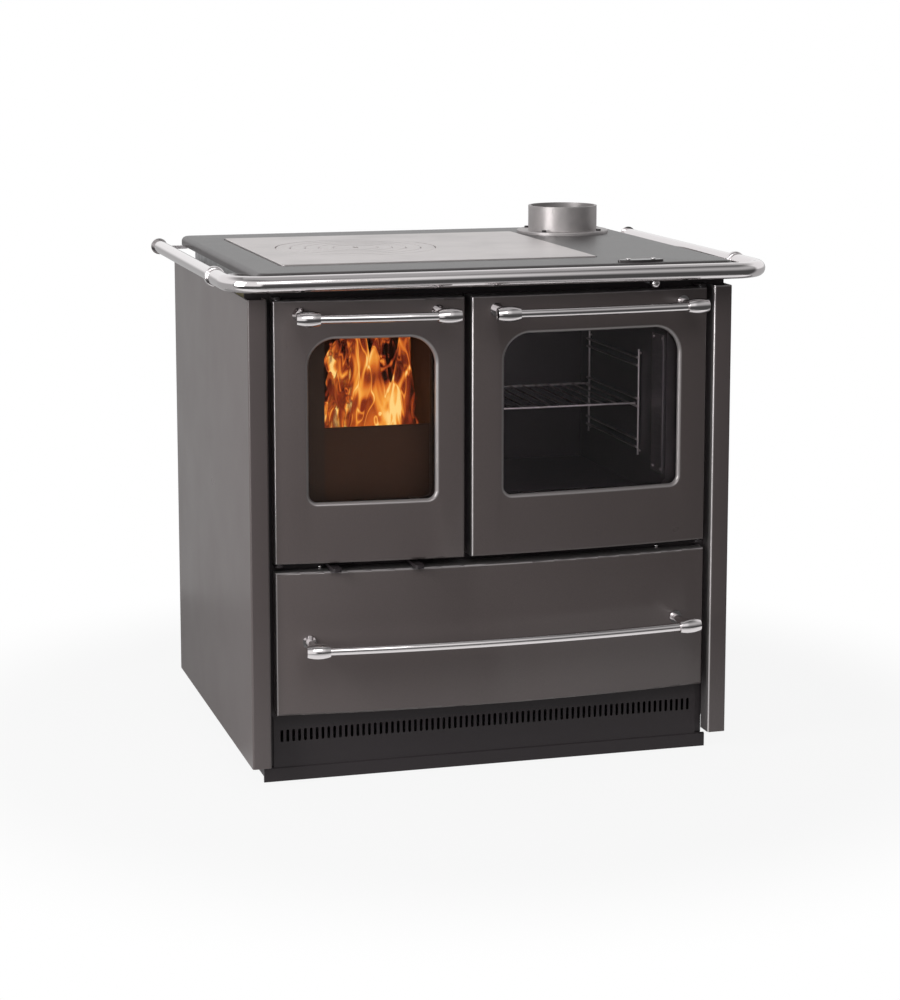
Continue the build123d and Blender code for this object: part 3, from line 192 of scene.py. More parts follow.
class StoveStage(bpy.types.PropertyGroup):
    """Studio light and camera."""

    key_power: bpy.props.FloatProperty(
        name="Key power",
        description="Power of the large soft lamp at the left",
        subtype="POWER",
        unit="POWER",
        min=0.0,
        default=52.0,
    )
    fill_power: bpy.props.FloatProperty(
        name="Fill power",
        description="Power of the soft lamp in front, at the right",
        subtype="POWER",
        unit="POWER",
        min=0.0,
        default=36.0,
    )
    top_power: bpy.props.FloatProperty(
        name="Top power",
        description="Power of the soft lamp overhead",
        subtype="POWER",
        unit="POWER",
        min=0.0,
        default=7.0,
    )
    ambient: bpy.props.FloatProperty(
        name="Ambient",
        description="Strength of the even light from all round",
        min=0.0,
        max=2.0,
        default=0.45,
    )
    dim_side: bpy.props.FloatProperty(
        name="Dim side",
        description="Brightness of the room behind the camera, which the plated pieces mirror",
        min=0.0,
        max=1.0,
        default=0.08,
    )
    ceiling: bpy.props.FloatProperty(
        name="Ceiling",
        description="Brightness of the ceiling that the plated pieces mirror",
        min=0.0,
        max=1.0,
        default=0.22,
    )
    low_wall: bpy.props.FloatProperty(
        name="Low wall",
        description="Brightness of the room behind the stove, below the horizon",
        min=0.0,
        max=1.0,
        default=0.43,
    )
    lens: bpy.props.FloatProperty(
        name="Lens",
        description="Focal length on a 36 mm sensor",
        unit="CAMERA",
        min=10.0,
        default=91.43,
    )


# ------------------------------------------------------------------ materials
def start_material(name):
    """A new node material and its shader, tree and object coordinates."""
    material = bpy.data.materials.new(name)
    material.use_nodes = True
    tree = material.node_tree
    shader = tree.nodes["Principled BSDF"]
    coords = tree.nodes.new("ShaderNodeTexCoord")
    return material, tree, shader, coords.outputs["Object"]


def noise_pattern(tree, coords, scale, detail=3.0, roughness=0.5, stretch=None, swirl=0.0):
    """Fractal noise on the piece's own coordinates; stretch scales it per axis, swirl bends it."""
    vector = coords
    if stretch:
        mapping = tree.nodes.new("ShaderNodeMapping")
        mapping.inputs["Scale"].default_value = stretch
        tree.links.new(coords, mapping.inputs["Vector"])
        vector = mapping.outputs["Vector"]
    pattern = tree.nodes.new("ShaderNodeTexNoise")
    pattern.inputs["Scale"].default_value = scale
    pattern.inputs["Detail"].default_value = detail
    pattern.inputs["Roughness"].default_value = roughness
    pattern.inputs["Distortion"].default_value = swirl
    tree.links.new(vector, pattern.inputs["Vector"])
    return pattern.outputs["Fac"]


def ramp(tree, value, stops):
    """Colours along a value from 0 to 1."""
    node = tree.nodes.new("ShaderNodeValToRGB")
    band = node.color_ramp
    while len(band.elements) < len(stops):
        band.elements.new(0.5)
    for element, (place, colour) in zip(band.elements, stops):
        element.position = place
        element.color = (*colour, 1.0)
    tree.links.new(value, node.inputs["Fac"])
    return node.outputs["Color"]


def spread(tree, value, low, high):
    """The value moved from 0..1 to low..high."""
    node = tree.nodes.new("ShaderNodeMapRange")
    node.inputs["To Min"].default_value = low
    node.inputs["To Max"].default_value = high
    tree.links.new(value, node.inputs["Value"])
    return node.outputs["Result"]


def blend_in(tree, value, low, high):
    """0 below low, 1 above high and a soft step between."""
    node = tree.nodes.new("ShaderNodeMapRange")
    node.interpolation_type = "SMOOTHSTEP"
    node.inputs["From Min"].default_value = low
    node.inputs["From Max"].default_value = high
    tree.links.new(value, node.inputs["Value"])
    return node.outputs["Result"]


def calculate(tree, operation, *values):
    """One sum on values that are sockets or plain numbers."""
    node = tree.nodes.new("ShaderNodeMath")
    node.operation = operation
    for place, value in enumerate(values):
        if isinstance(value, (int, float)):
            node.inputs[place].default_value = value
        else:
            tree.links.new(value, node.inputs[place])
    return node.outputs["Value"]


def distance_from(tree, value, middle):
    """How far a value lies from a middle one."""
    return calculate(tree, "ABSOLUTE", calculate(tree, "SUBTRACT", value, middle))


def add_bump(tree, shader, height, distance, strength=1.0):
    """Surface relief from a height pattern; chains onto a bump that is already there."""
    bump = tree.nodes.new("ShaderNodeBump")
    bump.inputs["Strength"].default_value = strength
    bump.inputs["Distance"].default_value = distance
    tree.links.new(height, bump.inputs["Height"])
    socket = shader.inputs["Normal"]
    if socket.links:
        tree.links.new(socket.links[0].from_socket, bump.inputs["Normal"])
    tree.links.new(bump.outputs["Normal"], socket)


def shade(colour, factor):
    """The colour times a factor, kept within 0..1."""
    return tuple(min(1.0, max(0.0, channel * factor)) for channel in colour)


def window_distance(tree, across, height, window):
    """How far a point lies outside a door's window; below 0 it lies inside."""
    middle = (WINDOW_FOOT + WINDOW_HEAD) / 2
    upper = calculate(tree, "GREATER_THAN", height, middle)
    radius = spread(tree, upper, WINDOW_FOOT_RADIUS, WINDOW_HEAD_RADIUS)
    out = []
    for value, low, high in ((across, *window), (height, WINDOW_FOOT, WINDOW_HEAD)):
        beyond = calculate(tree, "SUBTRACT", distance_from(tree, value, (low + high) / 2), (high - low) / 2)
        out.append(calculate(tree, "ADD", beyond, radius))
    squares = [calculate(tree, "POWER", calculate(tree, "MAXIMUM", side, 0.0), 2.0) for side in out]
    corner = calculate(tree, "SQRT", calculate(tree, "ADD", *squares))
    within = calculate(tree, "MINIMUM", calculate(tree, "MAXIMUM", *out), 0.0)
    return calculate(tree, "SUBTRACT", calculate(tree, "ADD", corner, within), radius)


def painted_edge_highlight(tree, coords, low, high, window=None):
    """1 on a sheet's rounded left and top edges and on its window's lip: a painted highlight where light from the
    left and from above would glint.
    """
    parts = tree.nodes.new("ShaderNodeSeparateXYZ")
    tree.links.new(coords, parts.inputs["Vector"])
    across, height = parts.outputs["X"], parts.outputs["Z"]
    left = calculate(tree, "SUBTRACT", across, low.x)
    top = calculate(tree, "SUBTRACT", high.z, height)
    nearest = calculate(tree, "MINIMUM", left, top)
    # Painted highlight along the rounded left and top edges, which face the light from the left and from above.
    edge = blend_in(tree, nearest, EDGE_ROUND, 0.4 * EDGE_ROUND)
    if not window:
        return edge
    # Painted highlight round the window's rounded lip, weaker than on the edges.
    lip = blend_in(tree, window_distance(tree, across, height, window), LIP_ROUND, 0.6 * LIP_ROUND)
    return calculate(tree, "MAXIMUM", edge, calculate(tree, "MULTIPLY", lip, 0.42))


def enamel(name, colour, roughness, fleck=0.12, sheet=None, window=None):
    """Fired enamel: a faint fleck, slow tone changes, very fine orange peel, and a painted highlight on the
    rounded edges.
    """
    material, tree, shader, coords = start_material(name)
    fine = noise_pattern(tree, coords, 1100.0, 2.0, 0.6)
    tint = ramp(
        tree,
        fine,
        [(0.32, shade(colour, 1.0 - fleck)), (0.5, colour), (0.68, shade(colour, 1.0 + fleck))],
    )
    if sheet:
        # Painted highlight: the colour turns pale and metallic on the rounded edges and the window lip so that
        # they shine.
        edge = calculate(tree, "MULTIPLY", painted_edge_highlight(tree, coords, *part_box(sheet), window), 0.85)
        mix = tree.nodes.new("ShaderNodeMix")
        mix.data_type = "RGBA"
        tree.links.new(edge, mix.inputs["Factor"])
        tree.links.new(tint, mix.inputs["A"])
        mix.inputs["B"].default_value = (0.6, 0.57, 0.57, 1.0)
        tint = mix.outputs["Result"]
        tree.links.new(edge, shader.inputs["Metallic"])
    tree.links.new(tint, shader.inputs["Base Color"])
    slow = noise_pattern(tree, coords, 9.0, 2.0)
    tree.links.new(spread(tree, slow, roughness - 0.05, roughness + 0.05), shader.inputs["Roughness"])
    add_bump(tree, shader, noise_pattern(tree, coords, 420.0, 1.0), 0.00006, 0.5)
    return material


def satin_paint(name, colour, roughness):
    """Heat-proof satin paint with a fine grain."""
    material, tree, shader, coords = start_material(name)
    grain = noise_pattern(tree, coords, 1600.0, 3.0, 0.7)
    tint = ramp(tree, grain, [(0.3, shade(colour, 0.8)), (0.7, shade(colour, 1.2))])
    tree.links.new(tint, shader.inputs["Base Color"])
    tree.links.new(spread(tree, grain, roughness - 0.06, roughness + 0.06), shader.inputs["Roughness"])
    shader.inputs["Specular IOR Level"].default_value = 0.3
    add_bump(tree, shader, grain, 0.00008, 0.6)
    return material


def cast_metal(name, colour, roughness, metallic, pits=0.25):
    """A polished casting: cloudy tone, small pits and a soft grain."""
    material, tree, shader, coords = start_material(name)
    shader.inputs["Metallic"].default_value = metallic
    cloud = noise_pattern(tree, coords, 14.0, 5.0, 0.6)
    tint = ramp(
        tree,
        cloud,
        [(0.25, shade(colour, 0.78)), (0.5, colour), (0.75, shade(colour, 1.15))],
    )
    tree.links.new(tint, shader.inputs["Base Color"])
    grain = noise_pattern(tree, coords, 700.0, 4.0, 0.7)
    tree.links.new(spread(tree, grain, roughness - 0.1, roughness + 0.12), shader.inputs["Roughness"])
    add_bump(tree, shader, grain, 0.00015, pits)
    return material


def riveted_plate(name, colour, rivet_colour):
    """A dark polished plate whose rivet heads, above its face, are bright."""
    material, tree, shader, coords = start_material(name)
    parts = tree.nodes.new("ShaderNodeSeparateXYZ")
    tree.links.new(coords, parts.inputs["Vector"])
    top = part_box("blank_badge")[1].z
    rivet = blend_in(tree, parts.outputs["Z"], top - 0.0014, top - 0.0011)
    mix = tree.nodes.new("ShaderNodeMix")
    mix.data_type = "RGBA"
    cloud = noise_pattern(tree, coords, 160.0, 3.0, 0.6)
    tree.links.new(rivet, mix.inputs["Factor"])
    tree.links.new(
        ramp(tree, cloud, [(0.3, shade(colour, 0.8)), (0.7, shade(colour, 1.25))]),
        mix.inputs["A"],
    )
    mix.inputs["B"].default_value = (*rivet_colour, 1.0)
    tree.links.new(mix.outputs["Result"], shader.inputs["Base Color"])
    tree.links.new(spread(tree, rivet, 0.5, 1.0), shader.inputs["Metallic"])
    tree.links.new(spread(tree, cloud, 0.12, 0.26), shader.inputs["Roughness"])
    return material


def ground_metal(name, colour, roughness):
    """Iron ground flat: fine straight tool marks, faint stains and a little wear."""
    material, tree, shader, coords = start_material(name)
    shader.inputs["Metallic"].default_value = 0.75
    marks = noise_pattern(tree, coords, 60.0, 4.0, 0.7, (1.0, 40.0, 1.0))
    stain = noise_pattern(tree, coords, 7.0, 4.0, 0.6)
    tint = ramp(
        tree,
        stain,
        [(0.2, shade(colour, 0.82)), (0.5, colour), (0.8, shade(colour, 1.1))],
    )
    tree.links.new(tint, shader.inputs["Base Color"])
    tree.links.new(spread(tree, marks, roughness - 0.1, roughness + 0.14), shader.inputs["Roughness"])
    add_bump(tree, shader, marks, 0.00005, 0.5)
    return material


def plated(name, colour, roughness):
    """Chrome plating with the faintest haze of handling."""
    material, tree, shader, coords = start_material(name)
    shader.inputs["Metallic"].default_value = 1.0
    shader.inputs["Base Color"].default_value = (*colour, 1.0)
    haze = noise_pattern(tree, coords, 25.0, 3.0, 0.6)
    tree.links.new(spread(tree, haze, roughness * 0.6, roughness * 1.6), shader.inputs["Roughness"])
    return material


def zinc_sheet(name, colour):
    """Zinc-coated sheet with its crystal spangle."""
    material, tree, shader, coords = start_material(name)
    shader.inputs["Metallic"].default_value = 0.8
    spangle = tree.nodes.new("ShaderNodeTexVoronoi")
    spangle.inputs["Scale"].default_value = 110.0
    tree.links.new(coords, spangle.inputs["Vector"])
    grey = tree.nodes.new("ShaderNodeSeparateColor")
    tree.links.new(spangle.outputs["Color"], grey.inputs["Color"])
    tint = ramp(tree, grey.outputs["Red"], [(0.0, shade(colour, 0.8)), (1.0, shade(colour, 1.15))])
    tree.links.new(tint, shader.inputs["Base Color"])
    tree.links.new(spread(tree, grey.outputs["Green"], 0.32, 0.5), shader.inputs["Roughness"])
    return material


def brushed_wire(name, colour, roughness):
    """Bright stainless steel with short draw marks."""
    material, tree, shader, coords = start_material(name)
    shader.inputs["Metallic"].default_value = 1.0
    marks = noise_pattern(tree, coords, 300.0, 3.0, 0.6, (1.0, 0.1, 1.0))
    tint = ramp(tree, marks, [(0.2, shade(colour, 0.85)), (0.8, shade(colour, 1.1))])
    tree.links.new(tint, shader.inputs["Base Color"])
    tree.links.new(spread(tree, marks, roughness - 0.06, roughness + 0.1), shader.inputs["Roughness"])
    return material


def flecked_enamel(name, colour, fleck_colour):
    """Oven enamel: dark ground with sparse pale flecks."""
    material, tree, shader, coords = start_material(name)
    flecks = tree.nodes.new("ShaderNodeTexVoronoi")
    flecks.inputs["Scale"].default_value = 260.0
    tree.links.new(coords, flecks.inputs["Vector"])
    tint = ramp(
        tree,
        flecks.outputs["Distance"],
        [(0.0, fleck_colour), (0.12, fleck_colour), (0.2, colour), (1.0, colour)],
    )
    tree.links.new(tint, shader.inputs["Base Color"])
    shader.inputs["Roughness"].default_value = 0.3
    add_bump(tree, shader, noise_pattern(tree, coords, 300.0, 1.0), 0.00005, 0.4)
    return material


def stove_glass(name, tint, gloss, roughness=0.0):
    """Ceramic glass with a light tint and a faint trace of smoke in blotches."""
    material, tree, shader, coords = start_material(name)
    shader.inputs["Transmission Weight"].default_value = 1.0
    shader.inputs["IOR"].default_value = gloss
    shader.inputs["Roughness"].default_value = roughness
    smoke = noise_pattern(tree, coords, 6.0, 3.0)
    film = ramp(tree, smoke, [(0.3, shade(tint, 0.93)), (0.7, tint)])
    tree.links.new(film, shader.inputs["Base Color"])
    return material


def refractory(name, colour):
    """Pressed refractory board: coarse flakes, chips and soot."""
    material, tree, shader, coords = start_material(name)
    flakes = noise_pattern(tree, coords, 120.0, 6.0, 0.75)
    soot = noise_pattern(tree, coords, 6.0, 4.0, 0.6)
    mix = tree.nodes.new("ShaderNodeMix")
    mix.data_type = "RGBA"
    tree.links.new(ramp(tree, soot, [(0.42, (0.0, 0.0, 0.0)), (0.62, (1.0, 1.0, 1.0))]), mix.inputs["Factor"])
    tree.links.new(
        ramp(tree, flakes, [(0.3, shade(colour, 0.7)), (0.7, shade(colour, 1.2))]),
        mix.inputs["A"],
    )
    mix.inputs["B"].default_value = (*shade(colour, 0.12), 1.0)
    tree.links.new(mix.outputs["Result"], shader.inputs["Base Color"])
    shader.inputs["Roughness"].default_value = 0.95
    add_bump(tree, shader, flakes, 0.0012, 0.7)
    return material


def braided_rope(name, colour):
    """Braided fibre of the door seals."""
    material, tree, shader, coords = start_material(name)
    weave = tree.nodes.new("ShaderNodeTexWave")
    weave.wave_type = "BANDS"
    weave.bands_direction = "DIAGONAL"
    weave.inputs["Scale"].default_value = 220.0
    weave.inputs["Distortion"].default_value = 1.5
    tree.links.new(coords, weave.inputs["Vector"])
    tint = ramp(tree, weave.outputs["Fac"], [(0.1, shade(colour, 0.55)), (0.9, shade(colour, 1.3))])
    tree.links.new(tint, shader.inputs["Base Color"])
    shader.inputs["Roughness"].default_value = 0.9
    shader.inputs["Sheen Weight"].default_value = 0.2
    add_bump(tree, shader, weave.outputs["Fac"], 0.0006, 0.8)
    return material


def pressed_wool(name, colour):
    """Mineral wool board: long matted fibres."""
    material, tree, shader, coords = start_material(name)
    fibres = noise_pattern(tree, coords, 90.0, 6.0, 0.8, (1.0, 1.0, 9.0))
    tint = ramp(tree, fibres, [(0.3, shade(colour, 0.6)), (0.7, shade(colour, 1.2))])
    tree.links.new(tint, shader.inputs["Base Color"])
    shader.inputs["Roughness"].default_value = 1.0
    add_bump(tree, shader, fibres, 0.001, 0.8)
    return material


def flame_light(name, strength):
    """Glowing gas: bright threads in orange veils, with gaps that let the dark through."""
    material, tree, shader, coords = start_material(name)
    tree.nodes.remove(shader)
    output = tree.nodes["Material Output"]
    body = noise_pattern(tree, coords, 13.0, 1.0, 0.5, (1.0, 1.3, 0.5), 0.9)
    strands = noise_pattern(tree, coords, 17.0, 1.0, 0.5, (1.0, 1.5, 0.38), 1.3)
    threads = noise_pattern(tree, coords, 26.0, 0.5, 0.5, (1.0, 1.5, 0.34), 1.6)
    strand = blend_in(tree, distance_from(tree, strands, 0.5), 0.1, 0.0)
    thread = blend_in(tree, distance_from(tree, threads, 0.52), 0.04, 0.0)
    map_node = tree.nodes.new("ShaderNodeUVMap")
    map_node.uv_map = FLAME_MAP
    parts = tree.nodes.new("ShaderNodeSeparateXYZ")
    tree.links.new(map_node.outputs["UV"], parts.inputs["Vector"])
    fullness = parts.outputs["X"]
    lit = calculate(tree, "ADD", body, calculate(tree, "MULTIPLY", strand, 0.2))
    lit = calculate(tree, "ADD", lit, calculate(tree, "MULTIPLY", thread, 0.14))
    heat = calculate(tree, "ADD", lit, calculate(tree, "MULTIPLY", fullness, 0.26))
    colour = ramp(
        tree,
        heat,
        [
            (0.62, (0.03, 0.008, 0.006)),
            (0.74, (0.24, 0.035, 0.012)),
            (0.83, (0.66, 0.17, 0.025)),
            (0.93, (0.92, 0.44, 0.07)),
            (1.0, (1.0, 0.78, 0.3)),
        ],
    )
    glow = tree.nodes.new("ShaderNodeEmission")
    glow.inputs["Strength"].default_value = strength
    tree.links.new(colour, glow.inputs["Color"])
    clear = tree.nodes.new("ShaderNodeBsdfTransparent")
    mix = tree.nodes.new("ShaderNodeMixShader")
    cover = calculate(tree, "MULTIPLY", blend_in(tree, heat, 0.6, 0.76), 0.94)
    tree.links.new(cover, mix.inputs["Fac"])
    tree.links.new(clear.outputs["BSDF"], mix.inputs[1])
    tree.links.new(glow.outputs["Emission"], mix.inputs[2])
    tree.links.new(mix.outputs["Shader"], output.inputs["Surface"])
    return material


def charred_wood(name):
    """Burning log: cracked charcoal with pale ash and a glow in the cracks."""
    material, tree, shader, coords = start_material(name)
    cracks = tree.nodes.new("ShaderNodeTexVoronoi")
    cracks.feature = "DISTANCE_TO_EDGE"
    cracks.inputs["Scale"].default_value = 75.0
    tree.links.new(coords, cracks.inputs["Vector"])
    ash = noise_pattern(tree, coords, 30.0, 5.0, 0.6)
    tint = ramp(tree, ash, [(0.35, (0.012, 0.01, 0.009)), (0.6, (0.05, 0.045, 0.04)), (0.8, (0.3, 0.28, 0.26))])
    tree.links.new(tint, shader.inputs["Base Color"])
    shader.inputs["Roughness"].default_value = 0.95
    glow = ramp(
        tree,
        cracks.outputs["Distance"],
        [(0.0, (1.0, 0.2, 0.02)), (0.06, (0.3, 0.02, 0.0)), (0.14, (0.0, 0.0, 0.0))],
    )
    tree.links.new(glow, shader.inputs["Emission Color"])
    shader.inputs["Emission Strength"].default_value = 1.5
    add_bump(tree, shader, cracks.outputs["Distance"], 0.003, 0.7)
    return material


# ------------------------------------------------------------------ pieces
def smooth_tree():
    """Geometry nodes that join loose triangles and smooth every edge flatter than the given angle."""
    tree = bpy.data.node_groups.new("Smooth flat edges", "GeometryNodeTree")
    tree.interface.new_socket("Geometry", in_out="INPUT", socket_type="NodeSocketGeometry")
    tree.interface.new_socket("Geometry", in_out="OUTPUT", socket_type="NodeSocketGeometry")
    start = tree.nodes.new("NodeGroupInput")
    end = tree.nodes.new("NodeGroupOutput")
    weld = tree.nodes.new("GeometryNodeMergeByDistance")
    weld.inputs["Distance"].default_value = 0.00001
    angle = tree.nodes.new("GeometryNodeInputMeshEdgeAngle")
    flat = tree.nodes.new("FunctionNodeCompare")
    flat.data_type = "FLOAT"
    flat.operation = "LESS_THAN"
    flat.inputs["B"].default_value = math.radians(32)
    faces = tree.nodes.new("GeometryNodeSetShadeSmooth")
    faces.domain = "FACE"
    edges = tree.nodes.new("GeometryNodeSetShadeSmooth")
    edges.domain = "EDGE"
    tree.links.new(start.outputs[0], weld.inputs["Geometry"])
    tree.links.new(weld.outputs["Geometry"], faces.inputs["Geometry"])
    tree.links.new(faces.outputs["Geometry"], edges.inputs["Geometry"])
    tree.links.new(angle.outputs["Unsigned Angle"], flat.inputs["A"])
    tree.links.new(flat.outputs["Result"], edges.inputs["Shade Smooth"])
    tree.links.new(edges.outputs["Geometry"], end.inputs[0])
    return tree


def smooth(piece):
    """Rounds the look of a piece's curved faces and keeps its real edges sharp."""
    tree = bpy.data.node_groups.get("Smooth flat edges") or smooth_tree()
    modifier = piece.modifiers.new("Smooth curved faces", "NODES")
    modifier.node_group = tree


def finish_nodes(names, material):
    """Gives CAD nodes their material and smooth curved faces."""
    for name in names:
        piece = NODES[name]
        piece.data.materials.clear()
        piece.data.materials.append(material)
        smooth(piece)


def new_piece(name, mesh_maker, material, body):
    """A piece from a bmesh maker, at the origin, riding on a body."""
    mesh = bpy.data.meshes.new(name)
    bm = bmesh.new()
    mesh_maker(bm)
    bmesh.ops.remove_doubles(bm, verts=bm.verts, dist=0.00001)
    bmesh.ops.recalc_face_normals(bm, faces=bm.faces)
    for face in bm.faces:
        face.smooth = True
    bm.to_mesh(mesh)
    bm.free()
    mesh.materials.append(material)
    piece = bpy.data.objects.new(name, mesh)
    bpy.context.scene.collection.objects.link(piece)
    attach(piece, body)
    return piece


def flame_veil(bm, left, right, depth, foot, height, seed):
    """One upright veil of flame with a ragged top; its map says how full the flame is."""
    columns, rows = 84, 40
    older = len(bm.verts)
    bmesh.ops.create_grid(bm, x_segments=columns, y_segments=rows, size=0.5)
    bm.verts.ensure_lookup_table()
    thickness = bm.loops.layers.uv.get(FLAME_MAP) or bm.loops.layers.uv.new(FLAME_MAP)
    fullness = {}
    for vert in bm.verts[older:]:
        across, share = vert.co.x + 0.5, vert.co.y + 0.5
        tip = 0.5 + 0.75 * noise.noise(Vector((across * 7.0, seed, 0.4))) + 0.3 * math.sin(math.pi * across)
        tip = max(0.45, min(1.0, tip))
        sway = noise.noise_vector(Vector((across * 2.2, seed, share * 2.4 - seed))) * 0.03 * share
        drift = 0.014 * share
        x = left + (right - left) * across + sway.x + drift
        vert.co = Vector(
            (
                min(right, max(left, x)),
                depth + 0.6 * sway.y + 0.008 * noise.noise(Vector((across * 9.0, share * 5.0, seed))),
                foot + height * tip * share,
            )
        )
        left_fade = min(1.0, 6.0 * max(0.0, across - 0.22 * share))
        right_fade = min(1.0, 3.0 * (1.0 - across) + 0.15 * share)
        fullness[vert] = left_fade * right_fade * (1.0 - 0.5 * share**2)
    for face in bm.faces:
        for loop in face.loops:
            if loop.vert in fullness:
                loop[thickness].uv = (fullness[loop.vert], 0.0)


def rough_log(bm, start, end, radius, seed):
    """One split log: a round bar with chipped sides."""
    start, end = Vector(start), Vector(end)
    length = (end - start).length
    older = len(bm.verts)
    bmesh.ops.create_cone(
        bm, cap_ends=True, segments=14, radius1=radius, radius2=radius * 0.92, depth=length
    )
    bm.verts.ensure_lookup_table()
    edges = {edge for vert in bm.verts[older:] for edge in vert.link_edges}
    long_edges = [e for e in edges if abs((e.verts[0].co - e.verts[1].co).z) > length * 0.5]
    bmesh.ops.subdivide_edges(bm, edges=long_edges, cuts=14)
    bm.verts.ensure_lookup_table()
    made = bm.verts[older:]
    for vert in made:
        push = noise.noise(Vector((vert.co.x * 60 + seed, vert.co.y * 60, vert.co.z * 22)))
        side = Vector((vert.co.x, vert.co.y, 0.0))
        vert.co += side * push * 0.5
    turn = (end - start).to_track_quat("Z", "Y").to_matrix().to_4x4()
    bmesh.ops.transform(bm, matrix=Matrix.Translation((start + end) / 2) @ turn, verts=made)


# ------------------------------------------------------------------ operators
class STOVE_OT_enamel_sheets(bpy.types.Operator):
    """Enamel the side panels, the doors and the drawer front"""

    bl_idname = "stove.enamel_sheets"
    bl_label = "Enamel sheets"

    def execute(self, context):
        finish = context.scene.stove_finish
        side, door = tuple(finish.side_enamel), tuple(finish.door_enamel)
        roughness = finish.enamel_roughness
        finish_nodes(["left_side_panel"], enamel("Side enamel", side, roughness))
        sheets = [
            ("right_side_panel", "Right side enamel", side, None),
            ("firebox_door_panel", "Firebox door enamel", door, FIREBOX_WINDOW),
            ("oven_door_panel", "Oven door enamel", door, OVEN_WINDOW),
            ("drawer_front", "Drawer enamel", door, None),
        ]
        for sheet, name, colour, window in sheets:
            finish_nodes([sheet], enamel(name, colour, roughness, 0.12, sheet, window))
        return {"FINISHED"}


class STOVE_OT_painted_steel(bpy.types.Operator):
    """Paint the plinth, the front frame, the door liners and the small black steel pieces"""

    bl_idname = "stove.painted_steel"
    bl_label = "Painted steel"

    def execute(self, context):
        finish = context.scene.stove_finish
        paint = satin_paint("Plinth paint", tuple(finish.plinth_paint), 0.5)
        finish_nodes(
            [
                "plinth_grille",
                "base_frame",
                "front_frame",
                "firebox_door_liner",
                "oven_door_liner",
                "hinge_brackets",
                "primary_air_slide",
                "secondary_air_slide",
                "flue_collar_screws",
            ],
            paint,
        )
        collar = cast_metal("Flue enamel", (0.42, 0.395, 0.393), 0.4, 0.68, 0.3)
        finish_nodes(["flue_collar"], collar)
        finish_nodes(["blank_badge"], riveted_plate("Badge plate", (0.05, 0.045, 0.046), (0.75, 0.72, 0.72)))
        return {"FINISHED"}


class STOVE_OT_iron_top(bpy.types.Operator):
    """Finish the cast frame, the ground hob plate and its rings"""

    bl_idname = "stove.iron_top"
    bl_label = "Iron top"

    def execute(self, context):
        finish = context.scene.stove_finish
        finish_nodes(["top_frame"], cast_metal("Cast frame", tuple(finish.cast_iron), 0.36, 0.0))
        finish_nodes(
            [
                "hob_plate",
                "hob_ring_outer",
                "hob_ring_second",
                "hob_ring_third",
                "hob_ring_inner",
                "hob_centre_disc",
            ],
            ground_metal("Ground iron", tuple(finish.machined_iron), 0.38),
        )
        return {"FINISHED"}


class STOVE_OT_plated_pieces(bpy.types.Operator):
    """Plate the rail, the handles, the knob and the small bright pieces"""

    bl_idname = "stove.plated_pieces"
    bl_label = "Plated pieces"

    def execute(self, context):
        finish = context.scene.stove_finish
        finish_nodes(
            [
                "front_rail",
                "side_rails",
                "rail_fittings",
                "rail_brackets",
                "firebox_handle_bar",
                "firebox_handle_ends",
                "oven_handle_bar",
                "oven_handle_ends",
                "drawer_handle_bar",
                "drawer_handle_ends",
                "damper_knob",
                "casing_screws",
            ],
            plated("Chrome plating", tuple(finish.chrome), finish.chrome_roughness),
        )
        return {"FINISHED"}


class STOVE_OT_glazing(bpy.types.Operator):
    """Glaze the two doors and lay their rope seals"""

    bl_idname = "stove.glazing"
    bl_label = "Glazing and seals"

    def execute(self, context):
        finish_nodes(["firebox_door_glass"], stove_glass("Firebox glass", (0.8, 0.66, 0.57), 1.18))
        finish_nodes(["oven_door_glass"], stove_glass("Oven glass", (0.8, 0.75, 0.77), 1.22))
        rope = braided_rope("Seal rope", (0.09, 0.088, 0.085))
        finish_nodes(["firebox_door_seal", "oven_door_seal"], rope)
        return {"FINISHED"}


class STOVE_OT_oven_lining(bpy.types.Operator):
    """Finish the oven, its shelf, the shelf supports and the bright strips"""

    bl_idname = "stove.oven_lining"
    bl_label = "Oven lining"

    def execute(self, context):
        finish = context.scene.stove_finish
        finish_nodes(["oven_box"], flecked_enamel("Oven enamel", tuple(finish.oven_enamel), (0.05, 0.05, 0.052)))
        finish_nodes(
            ["oven_shelf_supports", "oven_shelf", "oven_side_strips"],
            brushed_wire("Bright steel", (0.78, 0.75, 0.76), 0.35),
        )
        return {"FINISHED"}


class STOVE_OT_inner_steel(bpy.types.Operator):
    """Coat the casing, the drawer box and the other inner sheets with zinc"""

    bl_idname = "stove.inner_steel"
    bl_label = "Inner steel"

    def execute(self, context):
        zinc = zinc_sheet("Zinc sheet", (0.42, 0.42, 0.43))
        finish_nodes(
            [
                "rear_panel",
                "inner_side_walls",
                "inner_back_wall",
                "inner_floors",
                "drawer_box",
                "drawer_runners",
                "levelling_feet",
                "hinge_pins",
                "door_catches",
                "damper_rod",
                "flue_box",
            ],
            zinc,
        )
        finish_nodes(["side_insulation"], pressed_wool("Mineral wool", (0.42, 0.36, 0.2)))
        return {"FINISHED"}


class STOVE_OT_firebox_lining(bpy.types.Operator):
    """Finish the firebricks, the grate, the log retainer and the ash pan"""

    bl_idname = "stove.firebox_lining"
    bl_label = "Firebox lining"

    def execute(self, context):
        finish_nodes(["firebricks"], refractory("Refractory board", (0.055, 0.034, 0.022)))
        finish_nodes(["firebox_casing", "ash_pan"], cast_metal("Scaled steel", (0.06, 0.05, 0.045), 0.6, 0.5))
        finish_nodes(["fire_grate"], cast_metal("Grate iron", (0.05, 0.046, 0.043), 0.65, 0.4, 0.5))
        finish_nodes(["log_retainer"], cast_metal("Retainer iron", (0.036, 0.019, 0.014), 0.6, 0.2, 0.4))
        return {"FINISHED"}


